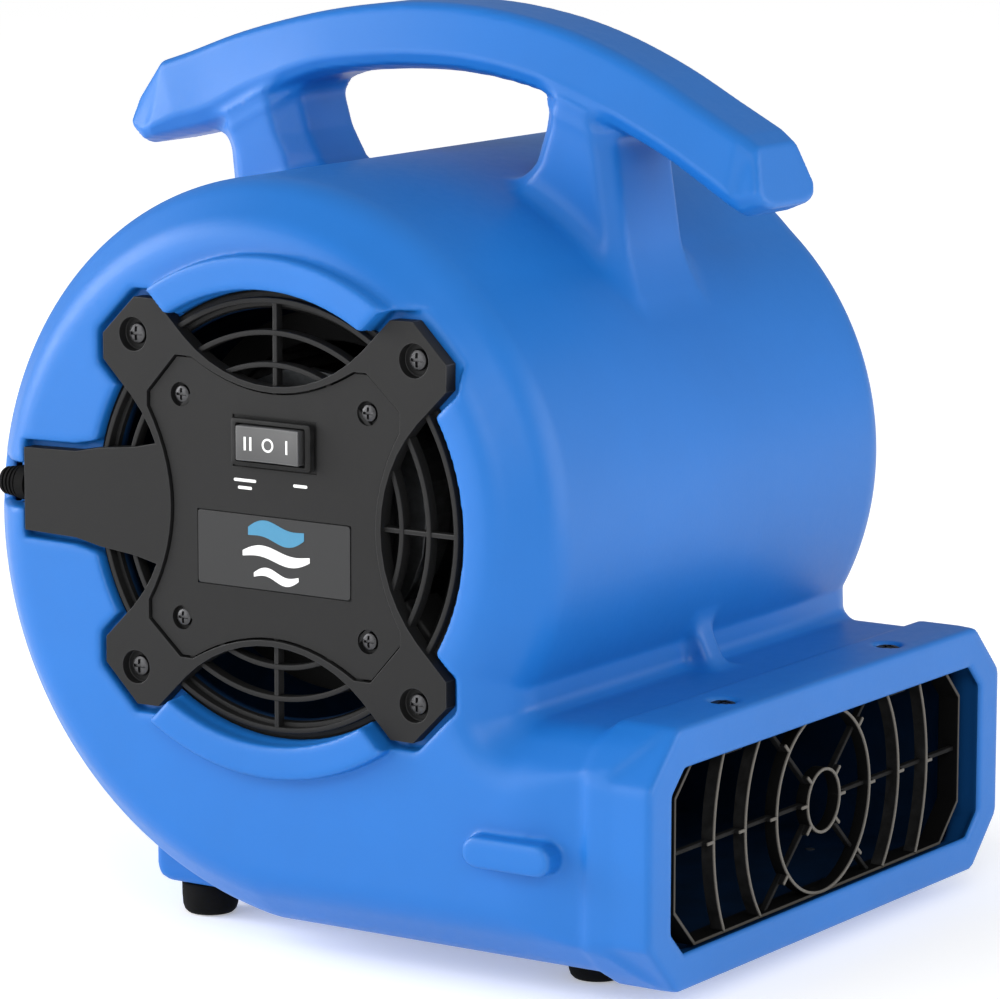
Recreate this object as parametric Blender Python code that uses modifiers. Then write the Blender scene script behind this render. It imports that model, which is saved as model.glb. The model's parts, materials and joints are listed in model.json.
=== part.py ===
"""Small commercial air mover: moulded scroll housing with a carrying handle,
a guard on each side intake, a double-inlet fan wheel on a central motor and a
three-position rocker switch.

Every shape is laid out around the fan axis: X runs along the axis, -Y is the
outlet side and +Z is up.  The root empty lifts the whole machine so that the
feet stand on z = 0.  The switch side is -X.
"""

import math

import bmesh
import bpy
from mathutils import Matrix, Vector

# ---------------------------------------------------------------- dimensions
AXIS_HEIGHT = 0.135
AXIS_FORWARD_SHIFT = 0.00485

# housing, measured from the fan axis
FACE_X = 0.1076
CHAMFER_X = 0.0146
CHAMFER_INSET = 0.0140
SOFT_EDGE = 0.0028
DRUM_RADIUS = 0.0905
SCROLL_START_DEG = 50.0
SCROLL_GROWTH_PER_DEG = 0.0001615
SCROLL_STEP_DEG = 8.0
BOTTOM_Z = -0.1250
DUCT_TOP_Z = -0.0530
DUCT_END_Y = -0.1085
DUCT_FILLET = 0.0060
WALL = 0.0030
SIDE_WALL = 0.0090
TAPER_START_Y = -0.086
TAPER_DEPTH = 0.0040

# outlet collar
COLLAR_HALF_X = 0.1046
COLLAR_TOP_Z = -0.0507
COLLAR_BOTTOM_Z = -0.1279
COLLAR_REAR_Y = -0.1075
FRONT_Y = -0.1280
COLLAR_CORNER = 0.0155
MOUTH_HALF_X = 0.0922
MOUTH_TOP_Z = -0.0628
MOUTH_BOTTOM_Z = -0.1169
MOUTH_CORNER = 0.0071
CHANNEL_TOP_Z = -0.0590
CHANNEL_BOTTOM_Z = -0.1190
LIP_DEPTH = 0.0024
COLLAR_SCREW_X = 0.0490
COLLAR_SCREW_Y = -0.1184

# raised pads, side lugs and support block
PAD_INNER_RADIUS = 0.0666
PAD_OUTER_RADIUS = 0.0770
PAD_RISE = 0.0054
PAD_END_OFFSET = 0.0145
LUG_CENTRE = (-0.0845, -0.0890)
LUG_HALF_LENGTH = 0.0150
LUG_RADIUS = 0.0047
BLOCK_HALF_X = 0.0740
BLOCK_REAR_Y = 0.0697
BLOCK_FRONT_Y = 0.0080

# intake and guard
INTAKE_RADIUS = 0.0605
POCKET_RADIUS = 0.0664
POCKET_DEPTH = 0.0053
POCKET_GAP = 0.0024
GUARD_THICKNESS = 0.0050
ARM_HALF_WIDTH = 0.0136
ARM_TIP_HALF_WIDTH = 0.0082
ARM_SHOULDER = 0.0728
ARM_TIP = 0.0783
ARM_ROOT = 0.0600
GUARD_WAIST = 0.0384
GUARD_RING_RADII = (0.0634, 0.0540, 0.0446)
RING_BAR = 0.0017
RING_DEPTH = 0.0028
OUTER_SCREW = 0.0500
INNER_SCREW = 0.03335
BOSS_RADIUS = 0.0372
BOSS_BACK_X = 0.0982
CORD_ARM_PROFILE = (
    (0.0380, 0.0190),
    (0.0500, 0.0163),
    (0.0630, 0.0149),
    (0.0720, 0.0131),
    (0.0915, 0.0126),
)
CORD_SLOT_HALF = 0.0067
CORD_SLOT_FLOOR_X = 0.0960

# switch plate, label and switch
PLATE_DROP = 0.0010
PLATE_THICKNESS = 0.0030
PLATE_CLEARANCE = 0.0006
SWITCH_Y = -0.00045
SWITCH_Z = 0.0215
BEZEL_LENGTH = 0.0286
BEZEL_HEIGHT = 0.0140
BEZEL_PROUD = 0.0022
SWITCH_BODY_LENGTH = 0.0256
SWITCH_BODY_HEIGHT = 0.0120
SWITCH_BACK_X = 0.0900
ROCKER_LENGTH = 0.0224
ROCKER_HEIGHT = 0.0104
ROCKER_AXIS_X = -0.1045
LABEL_LENGTH = 0.0545
LABEL_HEIGHT = 0.0217
LABEL_Z = -0.01105

# motor and fan wheel, positions along X
MOTOR_RADIUS = 0.0380
MOTOR_FRONT_X = -0.0850
MOTOR_BACK_X = -0.0180
MOTOR_POST = 0.0240
SHAFT_RADIUS = 0.0040
WHEEL_HALF_WIDTH = 0.0740
WHEEL_OUTER_RADIUS = 0.0575
WHEEL_INNER_RADIUS = 0.0480
WHEEL_BLADES = 22
HUB_RADIUS = 0.0100

# outlet grille
GRILLE_Z = -0.0890
GRILLE_FRONT_Y = -0.1248
GRILLE_RADII = (0.0095, 0.0278, 0.0459, 0.0638)
GRILLE_HALF_X = 0.0855
GRILLE_HALF_Z = 0.0285
GRILLE_CORNER = 0.0115
GRILLE_BAR = 0.0015

# feet
FOOT_RADIUS = 0.0088
FOOT_X = 0.0625
FOOT_FRONT_Y = -0.0845
FOOT_REAR_Y = 0.0565

FIT_GAP = 0.0003
CROSS_DEPTH = 0.0009
ROUND_STEPS = 36
RING_STEPS = 30
MOTOR_STEPS = 24
FOOT_STEPS = 18
SCREW_STEPS = 10
HOLE_STEPS = 8
RECESS_STEPS = 16
PAD_STEPS = 10

# local x, y, z of a side panel drawing -> world Y, Z, X
ALONG_X = Matrix(((0, 0, 1, 0), (1, 0, 0, 0), (0, 1, 0, 0), (0, 0, 0, 1)))
# local x, y, z of a front drawing -> world X, Z, -Y
ALONG_Y = Matrix(((1, 0, 0, 0), (0, 0, -1, 0), (0, 1, 0, 0), (0, 0, 0, 1)))
UPRIGHT = Matrix.Identity(4)

MATERIALS = {
    "blue_polyethylene": ((0.055, 0.225, 0.640, 1.0), 0.42, 0.0),
    "black_plastic": ((0.045, 0.045, 0.047, 1.0), 0.48, 0.0),
    "switch_plastic": ((0.090, 0.090, 0.095, 1.0), 0.35, 0.0),
    "label_film": ((0.030, 0.031, 0.034, 1.0), 0.28, 0.0),
    "black_rubber": ((0.015, 0.015, 0.015, 1.0), 0.75, 0.0),
    "zinc_steel": ((0.420, 0.420, 0.430, 1.0), 0.38, 1.0),
    "motor_steel": ((0.300, 0.310, 0.320, 1.0), 0.45, 1.0),
    "wheel_plastic": ((0.035, 0.036, 0.038, 1.0), 0.55, 0.0),
    "cast_aluminium": ((0.520, 0.530, 0.540, 1.0), 0.50, 1.0),
}


# ------------------------------------------------------------------- helpers
def clear_scene():
    """Remove every object that is already in the file."""
    for old in list(bpy.data.objects):
        bpy.data.objects.remove(old, do_unlink=True)


def make_collection(name):
    """Make a collection under the scene's own."""
    made = bpy.data.collections.new(name)
    bpy.context.scene.collection.children.link(made)
    return made


def make_material(name):
    """Make a plain Principled material from the table above."""
    colour, roughness, metallic = MATERIALS[name]
    material = bpy.data.materials.new(name)
    material.use_nodes = True
    shader = material.node_tree.nodes["Principled BSDF"]
    shader.inputs["Base Color"].default_value = colour
    shader.inputs["Roughness"].default_value = roughness
    shader.inputs["Metallic"].default_value = metallic
    material.diffuse_color = colour
    return material


def mesh_from_bmesh(name, work):
    """Write a bmesh to a new mesh with consistent outward normals."""
    bmesh.ops.recalc_face_normals(work, faces=work.faces)
    mesh = bpy.data.meshes.new(name)
    work.to_mesh(mesh)
    work.free()
    return mesh


def finish_mesh(mesh, angle_deg=38.0):
    """Shade smooth, keeping edges sharper than the angle crisp."""
    mesh.shade_smooth()
    mesh.set_sharp_from_angle(angle=math.radians(angle_deg))


def join_meshes(name, meshes):
    """Put several meshes, each a closed body, into one mesh."""
    work = bmesh.new()
    for mesh in meshes:
        work.from_mesh(mesh)
    joined = bpy.data.meshes.new(name)
    work.to_mesh(joined)
    work.free()
    return joined


class Workshop:
    """Holds the collections, the root and the materials while parts are made."""

    def __init__(self):
        self.parts = make_collection("air_mover")
        self.cutters = make_collection("air_mover_cutters")
        self.materials = {name: make_material(name) for name in MATERIALS}
        self.root = bpy.data.objects.new("air_mover_root", None)
        self.root.location = (0.0, AXIS_FORWARD_SHIFT, AXIS_HEIGHT)
        self.parts.objects.link(self.root)

    def empty(self, name, location):
        """Add a joint empty at a place given from the fan axis."""
        made = bpy.data.objects.new(name, None)
        made.location = location
        made.parent = self.root
        self.parts.objects.link(made)
        return made

    def part(self, name, mesh, material, parent=None):
        """Add a named part, drawn around the fan axis, under its parent."""
        holder = parent or self.root
        made = bpy.data.objects.new(name, mesh)
        if parent is not None:
            mesh.transform(Matrix.Translation(-Vector(parent.location)))
        made.parent = holder
        mesh.name = name
        mesh.materials.clear()
        mesh.materials.append(self.materials[material])
        finish_mesh(mesh)
        self.parts.objects.link(made)
        return made

    def combine(self, target, operation, tool_mesh, label):
        """Join or cut the target with a hidden tool body."""
        tool = bpy.data.objects.new(f"{target.name}_{label}", tool_mesh)
        tool.parent = self.root
        tool.hide_render = True
        tool.display_type = "WIRE"
        self.cutters.objects.link(tool)
        boolean = target.modifiers.new(label, "BOOLEAN")
        boolean.operation = operation
        boolean.solver = "EXACT"
        boolean.object = tool


def evaluated_mesh(name, data, matrix, modify=None):
    """Weld what a curve, or a mesh with modifiers, evaluates to, placed by the matrix."""
    holder = bpy.data.objects.new(name, data)
    bpy.context.scene.collection.objects.link(holder)
    if modify is not None:
        modify(holder)
    graph = bpy.context.evaluated_depsgraph_get()
    mesh = bpy.data.meshes.new_from_object(holder.evaluated_get(graph))
    bpy.data.objects.remove(holder, do_unlink=True)
    work = bmesh.new()
    work.from_mesh(mesh)
    bmesh.ops.remove_doubles(work, verts=work.verts, dist=1e-6)
    bmesh.ops.transform(work, matrix=matrix, verts=work.verts)
    bpy.data.meshes.remove(mesh)
    return mesh_from_bmesh(name, work)


def plate(name, outlines, low, high, frame=ALONG_X, edge=0.0):
    """Extrude outlines (first outer, rest holes) between two levels.

    A positive edge rounds the rims by that radius.
    """
    curve = bpy.data.curves.new(name, "CURVE")
    curve.dimensions = "2D"
    curve.fill_mode = "BOTH"
    curve.extrude = (high - low) / 2.0 - edge
    curve.bevel_depth = edge
    curve.bevel_resolution = 0
    curve.offset = -edge
    for outline in outlines:
        spline = curve.splines.new("POLY")
        spline.points.add(len(outline) - 1)
        for point, (u, v) in zip(spline.points, outline):
            point.co = (u, v, 0.0, 1.0)
        spline.use_cyclic_u = True
    centred = frame @ Matrix.Translation((0.0, 0.0, (high + low) / 2.0))
    return evaluated_mesh(name, curve, centred)


def box(name, centre, size):
    """A closed box."""
    work = bmesh.new()
    bmesh.ops.create_cube(work, size=1.0)
    bmesh.ops.scale(work, vec=Vector(size), verts=work.verts)
    bmesh.ops.translate(work, vec=Vector(centre), verts=work.verts)
    return mesh_from_bmesh(name, work)


def turned(name, profile, frame=ALONG_X, centre=(0.0, 0.0), steps=ROUND_STEPS):
    """Spin a (radius, level) profile about the drawing's own axis.

    A profile that starts and ends on the axis makes a solid; any other closes
    into a ring.
    """
    count = len(profile)
    edges = [(index, index + 1) for index in range(count - 1)]
    if profile[0][0] > 0.0:
        edges.append((count - 1, 0))
    outline = bpy.data.meshes.new(f"{name}_profile")
    outline.from_pydata([(radius, 0.0, level) for radius, level in profile], edges, [])

    def spin(holder):
        screw = holder.modifiers.new("screw", "SCREW")
        screw.steps = steps
        screw.render_steps = steps
        screw.use_merge_vertices = True
        screw.merge_threshold = 1e-6

    place = frame @ Matrix.Translation((centre[0], centre[1], 0.0))
    return evaluated_mesh(name, outline, place, spin)


def disc(name, radius, low, high, frame=ALONG_X, centre=(0.0, 0.0), steps=ROUND_STEPS):
    """A plain round disc or pin."""
    work = bmesh.new()
    bmesh.ops.create_cone(
        work, cap_ends=True, segments=steps, radius1=radius, radius2=radius, depth=high - low
    )
    shift = Matrix.Translation((centre[0], centre[1], (high + low) / 2.0))
    bmesh.ops.transform(work, matrix=frame @ shift, verts=work.verts)
    return mesh_from_bmesh(name, work)


def loft(name, rings):
    """Skin a list of rings, each a list of (x, y, z), and close both ends."""
    work = bmesh.new()
    rows = [[work.verts.new(spot) for spot in ring] for ring in rings]
    count = len(rows[0])
    for here, there in zip(rows, rows[1:]):
        for step in range(count):
            after = (step + 1) % count
            work.faces.new((here[step], here[after], there[after], there[step]))
    work.faces.new(rows[0])
    work.faces.new(rows[-1])
    return mesh_from_bmesh(name, work)


def ring_bar(name, radius, bar, low, high, frame=ALONG_X, centre=(0.0, 0.0), steps=RING_STEPS):
    """A flat ring of square bar."""
    half = bar / 2.0
    profile = ((radius - half, low), (radius + half, low), (radius + half, high), (radius - half, high))
    return turned(name, profile, frame, centre, steps)


# ------------------------------------------------------------------- outlines
def circle(radius, steps=ROUND_STEPS, centre=(0.0, 0.0)):
    """Points of a circle."""
    points = []
    for index in range(steps):
        angle = math.tau * index / steps
        points.append((centre[0] + radius * math.cos(angle), centre[1] + radius * math.sin(angle)))
    return points


def rectangle(centre, length, height):
    """Points of an upright rectangle."""
    u, v = centre
    return [
        (u - length / 2, v - height / 2),
        (u + length / 2, v - height / 2),
        (u + length / 2, v + height / 2),
        (u - length / 2, v + height / 2),
    ]


def octagon(half_u, low, high, corner):
    """Points of a rectangle with 45 degree corners, centred on u = 0."""
    return [
        (-half_u + corner, low),
        (half_u - corner, low),
        (half_u, low + corner),
        (half_u, high - corner),
        (half_u - corner, high),
        (-half_u + corner, high),
        (-half_u, high - corner),
        (-half_u, low + corner),
    ]


def scroll_radius(angle_deg):
    """Drum radius at an angle counted from the front, up over the top."""
    return DRUM_RADIUS + max(0.0, angle_deg - SCROLL_START_DEG) * SCROLL_GROWTH_PER_DEG


def housing_outline():
    """Side view (y, z) of drum and duct, from the duct fillet round to the duct end."""
    fillet_distance = DRUM_RADIUS + DUCT_FILLET
    centre_z = DUCT_TOP_Z + DUCT_FILLET
    centre_y = -math.sqrt(fillet_distance**2 - centre_z**2)
    start_deg = math.degrees(math.atan2(centre_z, -centre_y))
    points = []
    for step in range(4):
        angle = math.radians(-90.0 + (90.0 + start_deg) * step / 4.0)
        y = centre_y + DUCT_FILLET * math.cos(angle)
        z = centre_z + DUCT_FILLET * math.sin(angle)
        points.append((y, z))
    angle_deg = start_deg
    while angle_deg < 266.0:
        radius = scroll_radius(angle_deg)
        angle = math.radians(angle_deg)
        points.append((-radius * math.cos(angle), radius * math.sin(angle)))
        angle_deg += SCROLL_STEP_DEG
    points.append((0.0080, BOTTOM_Z))
    points.append((DUCT_END_Y, BOTTOM_Z))
    points.append((DUCT_END_Y, DUCT_TOP_Z))
    return points


def inset(points, distance):
    """Move an outline inwards along its own mitred normals."""
    count = len(points)
    turn = sum(
        points[i][0] * points[(i + 1) % count][1] - points[(i + 1) % count][0] * points[i][1]
        for i in range(count)
    )
    side = 1.0 if turn > 0.0 else -1.0
    moved = []
    for index in range(count):
        before = Vector(points[index - 1])
        here = Vector(points[index])
        after = Vector(points[(index + 1) % count])
        first = (here - before).normalized()
        second = (after - here).normalized()
        normal_a = Vector((-first.y, first.x)) * side
        normal_b = Vector((-second.y, second.x)) * side
        mitre = (normal_a + normal_b).normalized()
        stretch = distance / max(0.35, mitre.dot(normal_a))
        moved.append(tuple(here + mitre * stretch))
    return moved


def soft_rim(face_x, depth, width, soft):
    """(x, inset) stops from the side face over a softened chamfer to the drum."""
    slope = math.hypot(depth, width)
    along_x = soft * depth / slope
    along_r = soft * width / slope
    return (
        (face_x, width + soft),
        (face_x - along_x, width - along_r),
        (face_x - depth + along_x, along_r),
        (face_x - depth - soft, 0.0),
    )


def side_body(name, outline, stops):
    """Loft an outline across the machine through mirrored (x, inset) stops."""
    levels = [(-x, amount) for x, amount in stops] + [(x, amount) for x, amount in reversed(stops)]
    rings = []
    for x, amount in levels:
        ring = inset(outline, amount) if amount else outline
        rings.append([(x, y, z) for y, z in ring])
    return loft(name, rings)


def on_diagonal(along, across, quadrant):
    """Point at a distance along one of the four diagonals and across it."""
    angle = math.radians(45.0 + 90.0 * quadrant)
    direction = Vector((math.cos(angle), math.sin(angle)))
    sideways = Vector((-direction.y, direction.x))
    return tuple(direction * along + sideways * across)


def guard_outline(grow=0.0, waist=GUARD_WAIST):
    """Four-armed outline with concave sides; grow widens it all round."""
    half = ARM_HALF_WIDTH + grow
    tip_half = ARM_TIP_HALF_WIDTH + grow * 0.6
    arc_radius = waist_radius(waist)
    points = []
    for quadrant in range(4):
        points.append(on_diagonal(ARM_ROOT, -half, quadrant))
        points.append(on_diagonal(ARM_SHOULDER + grow * 0.4, -half, quadrant))
        points.append(on_diagonal(ARM_TIP + grow, -tip_half, quadrant))
        points.append(on_diagonal(ARM_TIP + grow, tip_half, quadrant))
        points.append(on_diagonal(ARM_SHOULDER + grow * 0.4, half, quadrant))
        points.append(on_diagonal(ARM_ROOT, half, quadrant))
        middle = math.radians(90.0 + 90.0 * quadrant)
        centre = (math.cos(middle) * (waist + arc_radius), math.sin(middle) * (waist + arc_radius))
        for step in (3, 2, 1, 0, -1, -2, -3):
            angle = middle + math.pi + math.radians(11.5 * step)
            reach = arc_radius - grow
            points.append((centre[0] + reach * math.cos(angle), centre[1] + reach * math.sin(angle)))
    return points


def waist_radius(waist):
    """Radius of the concave side that runs tangent into the arms."""
    corner = on_diagonal(ARM_ROOT, ARM_HALF_WIDTH, 0)
    half_chord, height = abs(corner[0]), abs(corner[1]) - waist
    return (half_chord**2 + height**2) / (2.0 * height)


def switch_plate_outline(grow=0.0):
    """Centre plate with cut corners and gently hollow sides."""
    points = []
    for quadrant in range(4):
        turn = Matrix.Rotation(math.radians(90.0 * quadrant), 2)
        rise = 0.0445 + grow
        corner = (
            (rise, 0.0290),
            (rise, 0.0333 + grow * 0.4),
            (0.0345 + grow * 0.4, rise),
            (0.0290, rise),
        )
        for spot in corner:
            points.append(tuple(turn @ Vector(spot)))
        for across in (0.0200, 0.0100, 0.0, -0.0100, -0.0200):
            dip = 0.0085 * (1.0 - (across / 0.0290) ** 2)
            points.append(tuple(turn @ Vector((across, rise - dip))))
    return points


def pad_outline(upper):
    """Raised arc between two arms, its ends cut parallel to them."""
    sign = 1.0 if upper else -1.0
    points = []
    for radius, order in ((PAD_OUTER_RADIUS, 1.0), (PAD_INNER_RADIUS, -1.0)):
        half_span = 45.0 - math.degrees(math.asin(PAD_END_OFFSET / radius))
        for step in range(PAD_STEPS + 1):
            angle = math.radians(90.0 + order * half_span * (2.0 * step / PAD_STEPS - 1.0))
            points.append((radius * math.cos(angle), sign * radius * math.sin(angle)))
    return points


def capsule(centre, half_length, radius, steps=6):
    """A slot shape lying along its first coordinate."""
    points = []
    for side in (1.0, -1.0):
        middle = (centre[0] + side * (half_length - radius), centre[1])
        for step in range(steps + 1):
            angle = math.pi * step / steps - math.pi / 2.0
            across = side * radius * math.cos(angle)
            along = side * radius * math.sin(angle)
            points.append((middle[0] + across, middle[1] + along))
    return points


# -------------------------------------------------------------------- housing
def handle_bar():
    """Long carrying bar that runs front to back, thicker towards the rear."""
    stations = (
        (0.1183, 0.1085, 0.1178, 0.0995, 0.82),
        (0.1100, 0.1200, 0.1135, 0.0962, 1.0),
        (0.1007, 0.1243, 0.1030, 0.0974, 1.0),
        (0.0840, 0.1303, 0.0860, 0.1015, 1.0),
        (0.0685, 0.1348, 0.0700, 0.1100, 1.0),
        (0.0496, 0.1392, 0.0490, 0.1188, 1.0),
        (0.0310, 0.1421, 0.0310, 0.1218, 1.0),
        (0.0125, 0.1436, 0.0120, 0.1232, 1.0),
        (-0.0080, 0.1431, -0.0080, 0.1228, 1.0),
        (-0.0300, 0.1398, -0.0280, 0.1196, 1.0),
        (-0.0495, 0.1343, -0.0460, 0.1140, 1.0),
        (-0.0690, 0.1262, -0.0630, 0.1070, 1.0),
        (-0.0860, 0.1172, -0.0800, 0.0990, 1.0),
        (-0.0985, 0.1085, -0.1010, 0.0873, 1.0),
        (-0.1025, 0.1052, -0.1078, 0.0902, 0.84),
    )
    section = ((0.0, 0.0130), (0.10, 0.0175), (0.28, 0.0193), (0.93, 0.0138), (1.0, 0.0122))
    rings = []
    for top_y, top_z, low_y, low_z, scale in stations:
        half = []
        for share, width in section:
            y = low_y + (top_y - low_y) * share
            z = low_z + (top_z - low_z) * share
            half.append((width * scale, y, z))
        rings.append(half + [(-x, y, z) for x, y, z in reversed(half)])
    return loft("handle_bar", rings)


def handle_leg(name, levels, front_half, corner):
    """A leg of chamfered square section; levels are (z, front y, rear y, flare)."""
    rings = []
    for z, front, rear, flare in levels:
        wide = front_half + corner + flare
        narrow = front_half + flare
        rings.append([
            (-narrow, front, z),
            (narrow, front, z),
            (wide, front + corner, z),
            (wide, rear - corner, z),
            (narrow, rear, z),
            (-narrow, rear, z),
            (-wide, rear - corner, z),
            (-wide, front + corner, z),
        ])
    return loft(name, rings)


def handle_legs():
    """Front and rear legs, both running down into the drum."""
    front = handle_leg(
        "front_leg",
        (
            (0.1160, -0.0560, -0.0360, -0.002),
            (0.1080, -0.0588, -0.0350, 0.0),
            (0.0980, -0.0605, -0.0318, 0.0),
            (0.0930, -0.0612, -0.0280, 0.0008),
            (0.0600, -0.0665, -0.0150, 0.0040),
        ),
        0.0152,
        0.0052,
    )
    rear = handle_leg(
        "rear_leg",
        (
            (0.1220, 0.0590, 0.0920, -0.002),
            (0.1120, 0.0570, 0.0905, 0.0),
            (0.1020, 0.0540, 0.0865, 0.0),
            (0.0950, 0.0500, 0.0838, 0.0008),
            (0.0600, 0.0420, 0.0800, 0.0030),
        ),
        0.0120,
        0.0080,
    )
    return front, rear


def add_housing_forms(shop, housing):
    """Everything moulded onto the outside of the drum."""
    collar = plate(
        "collar",
        [octagon(COLLAR_HALF_X, COLLAR_BOTTOM_Z, COLLAR_TOP_Z, COLLAR_CORNER)],
        -COLLAR_REAR_Y,
        -FRONT_Y,
        ALONG_Y,
        0.0010,
    )
    shop.combine(housing, "UNION", collar, "collar")
    shop.combine(housing, "UNION", handle_bar(), "handle_bar")
    for leg in handle_legs():
        shop.combine(housing, "UNION", leg, leg.name)
    pads = []
    lugs = []
    for side in (-1.0, 1.0):
        inner = side * (FACE_X - 0.0030)
        outer = side * (FACE_X + PAD_RISE)
        low, high = min(inner, outer), max(inner, outer)
        for upper in (True, False):
            pads.append(plate("pad", [pad_outline(upper)], low, high, edge=0.0008))
        lug = capsule(LUG_CENTRE, LUG_HALF_LENGTH, LUG_RADIUS)
        lugs.append(plate("lug", [lug], low, high, edge=0.0010))
    shop.combine(housing, "UNION", join_meshes("pads", pads), "pads")
    shop.combine(housing, "UNION", join_meshes("lugs", lugs), "lugs")
    block = [
        (BLOCK_FRONT_Y - 0.02, BOTTOM_Z + 0.0001),
        (BLOCK_REAR_Y - 0.0050, BOTTOM_Z + 0.0001),
        (BLOCK_REAR_Y - 0.0014, BOTTOM_Z + 0.0014),
        (BLOCK_REAR_Y, BOTTOM_Z + 0.0050),
        (BLOCK_REAR_Y, BOTTOM_Z + 0.0350),
        (BLOCK_FRONT_Y - 0.02, BOTTOM_Z + 0.0120),
    ]
    support = plate("block", [block], -BLOCK_HALF_X, BLOCK_HALF_X, edge=0.0008)
    shop.combine(housing, "UNION", support, "support_block")
    rib = [(-0.0700, -0.0370), (-0.0812, -0.0378), (-0.0900, -0.0560), (-0.0700, -0.0600)]
    shop.combine(housing, "UNION", plate("rib", [rib], -0.0048, 0.0048, edge=0.0006), "gusset_rib")


def cut_housing(shop, housing):
    """Hollow the scroll, open the mouth and the two intakes."""
    outline = inset(housing_outline(), WALL)
    inner_face = FACE_X - SIDE_WALL
    stops = ((inner_face, 0.0080), (inner_face - 0.0080, 0.0))
    shop.combine(housing, "DIFFERENCE", side_body("scroll_space", outline, stops), "scroll_space")
    cord_floor = box("cord_floor", (-0.0950, 0.0800, 0.0007), (0.0100, 0.0440, 0.0220))
    shop.combine(housing, "UNION", cord_floor, "cord_floor")
    channel = plate(
        "channel",
        [octagon(MOUTH_HALF_X, CHANNEL_BOTTOM_Z, CHANNEL_TOP_Z, MOUTH_CORNER)],
        0.1000,
        -FRONT_Y - LIP_DEPTH,
        ALONG_Y,
    )
    shop.combine(housing, "DIFFERENCE", channel, "outlet_channel")
    mouth = plate(
        "mouth",
        [octagon(MOUTH_HALF_X, MOUTH_BOTTOM_Z, MOUTH_TOP_Z, MOUTH_CORNER)],
        -FRONT_Y - LIP_DEPTH - 0.0020,
        -FRONT_Y + 0.0050,
        ALONG_Y,
    )
    shop.combine(housing, "DIFFERENCE", mouth, "outlet_mouth")
    for side, label in ((-1.0, "switch_side"), (1.0, "far_side")):
        outer = side * (FACE_X + 0.0200)
        floor = side * (FACE_X - POCKET_DEPTH)
        low, high = min(outer, floor), max(outer, floor)
        arms = plate("pocket_arms", [guard_outline(POCKET_GAP)], low, high)
        shop.combine(housing, "DIFFERENCE", arms, f"{label}_arm_pocket")
        well = disc("pocket_well", POCKET_RADIUS, low, high)
        shop.combine(housing, "DIFFERENCE", well, f"{label}_well")
        inside = side * 0.0900
        hole = disc("intake", INTAKE_RADIUS, min(outer, inside), max(outer, inside))
        shop.combine(housing, "DIFFERENCE", hole, f"{label}_intake")
    cord_pocket = plate("cord_pocket", [cord_arm_outline(POCKET_GAP)], -0.1276, -(FACE_X - POCKET_DEPTH))
    shop.combine(housing, "DIFFERENCE", cord_pocket, "cord_pocket")
    slot = box(
        "cord_slot",
        (-(CORD_SLOT_FLOOR_X + 0.0150), 0.0900, 0.0007),
        (0.0300, 0.0640, CORD_SLOT_HALF * 2.0),
    )
    shop.combine(housing, "DIFFERENCE", slot, "cord_slot")


def screw_spots():
    """The four diagonal places of a square screw pattern."""
    return ((1, 1), (-1, 1), (-1, -1), (1, -1))


def drill_housing(shop, housing):
    """Holes for the guard, grille and foot screws, and the duct taper."""
    holes = []
    for sy, sz in screw_spots():
        for side in (-1.0, 1.0):
            reach = sorted((side * 0.1060, side * 0.0960))
            spot = (sy * OUTER_SCREW, sz * OUTER_SCREW)
            holes.append(disc("hole", 0.0020, reach[0], reach[1], ALONG_X, spot, HOLE_STEPS))
    for sx in (-1.0, 1.0):
        spot = (sx * COLLAR_SCREW_X, COLLAR_SCREW_Y)
        holes.append(disc("hole", 0.0019, -0.0620, -0.0500, UPRIGHT, spot, HOLE_STEPS))
        for foot_y in (FOOT_FRONT_Y, FOOT_REAR_Y):
            spot = (sx * FOOT_X, foot_y)
            holes.append(disc("hole", 0.0019, -0.1300, -0.1190, UPRIGHT, spot, HOLE_STEPS))
    shop.combine(housing, "DIFFERENCE", join_meshes("screw_holes", holes), "screw_holes")
    wells = []
    for sx in (-1.0, 1.0):
        spot = (sx * COLLAR_SCREW_X, COLLAR_SCREW_Y)
        low, high = COLLAR_TOP_Z - 0.0024, COLLAR_TOP_Z + 0.0100
        wells.append(disc("well", 0.0042, low, high, UPRIGHT, spot, RECESS_STEPS))
    shop.combine(housing, "DIFFERENCE", join_meshes("screw_wells", wells), "screw_wells")


def duct_taper_tools():
    """Wedges that bring the duct sides in towards the collar."""
    tools = []
    for side in (-1.0, 1.0):
        corner_x = side * FACE_X
        low_x = side * (FACE_X - TAPER_DEPTH)
        far_x = side * (FACE_X + 0.0300)
        ring = [
            (corner_x, TAPER_START_Y),
            (low_x, COLLAR_REAR_Y + 0.0001),
            (low_x, COLLAR_REAR_Y - 0.0200),
            (far_x, COLLAR_REAR_Y - 0.0200),
            (far_x, TAPER_START_Y),
        ]
        tools.append(plate("taper", [ring], -0.1600, -0.0200, UPRIGHT))
    return join_meshes("duct_taper", tools)


def build_housing(shop):
    """Drum, duct, collar, handle and block as one hollow moulding."""
    stops = soft_rim(FACE_X, CHAMFER_X, CHAMFER_INSET, SOFT_EDGE)
    body = side_body("housing", housing_outline(), stops)
    housing = shop.part("housing", body, "blue_polyethylene")
    shop.combine(housing, "DIFFERENCE", duct_taper_tools(), "duct_taper")
    add_housing_forms(shop, housing)
    cut_housing(shop, housing)
    drill_housing(shop, housing)
    return housing


# --------------------------------------------------------------------- guards
def cord_arm_outline(grow=0.0):
    """Outline of the wiring channel that runs to the rear rim."""
    upper = [(y, half + grow) for y, half in CORD_ARM_PROFILE]
    lower = [(y, -half - grow) for y, half in reversed(CORD_ARM_PROFILE)]
    outline = upper + lower
    if grow:
        reach = CORD_ARM_PROFILE[-1][0] + grow * 0.4
        outline = [(min(y + grow, reach), z) for y, z in outline]
    return outline


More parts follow.
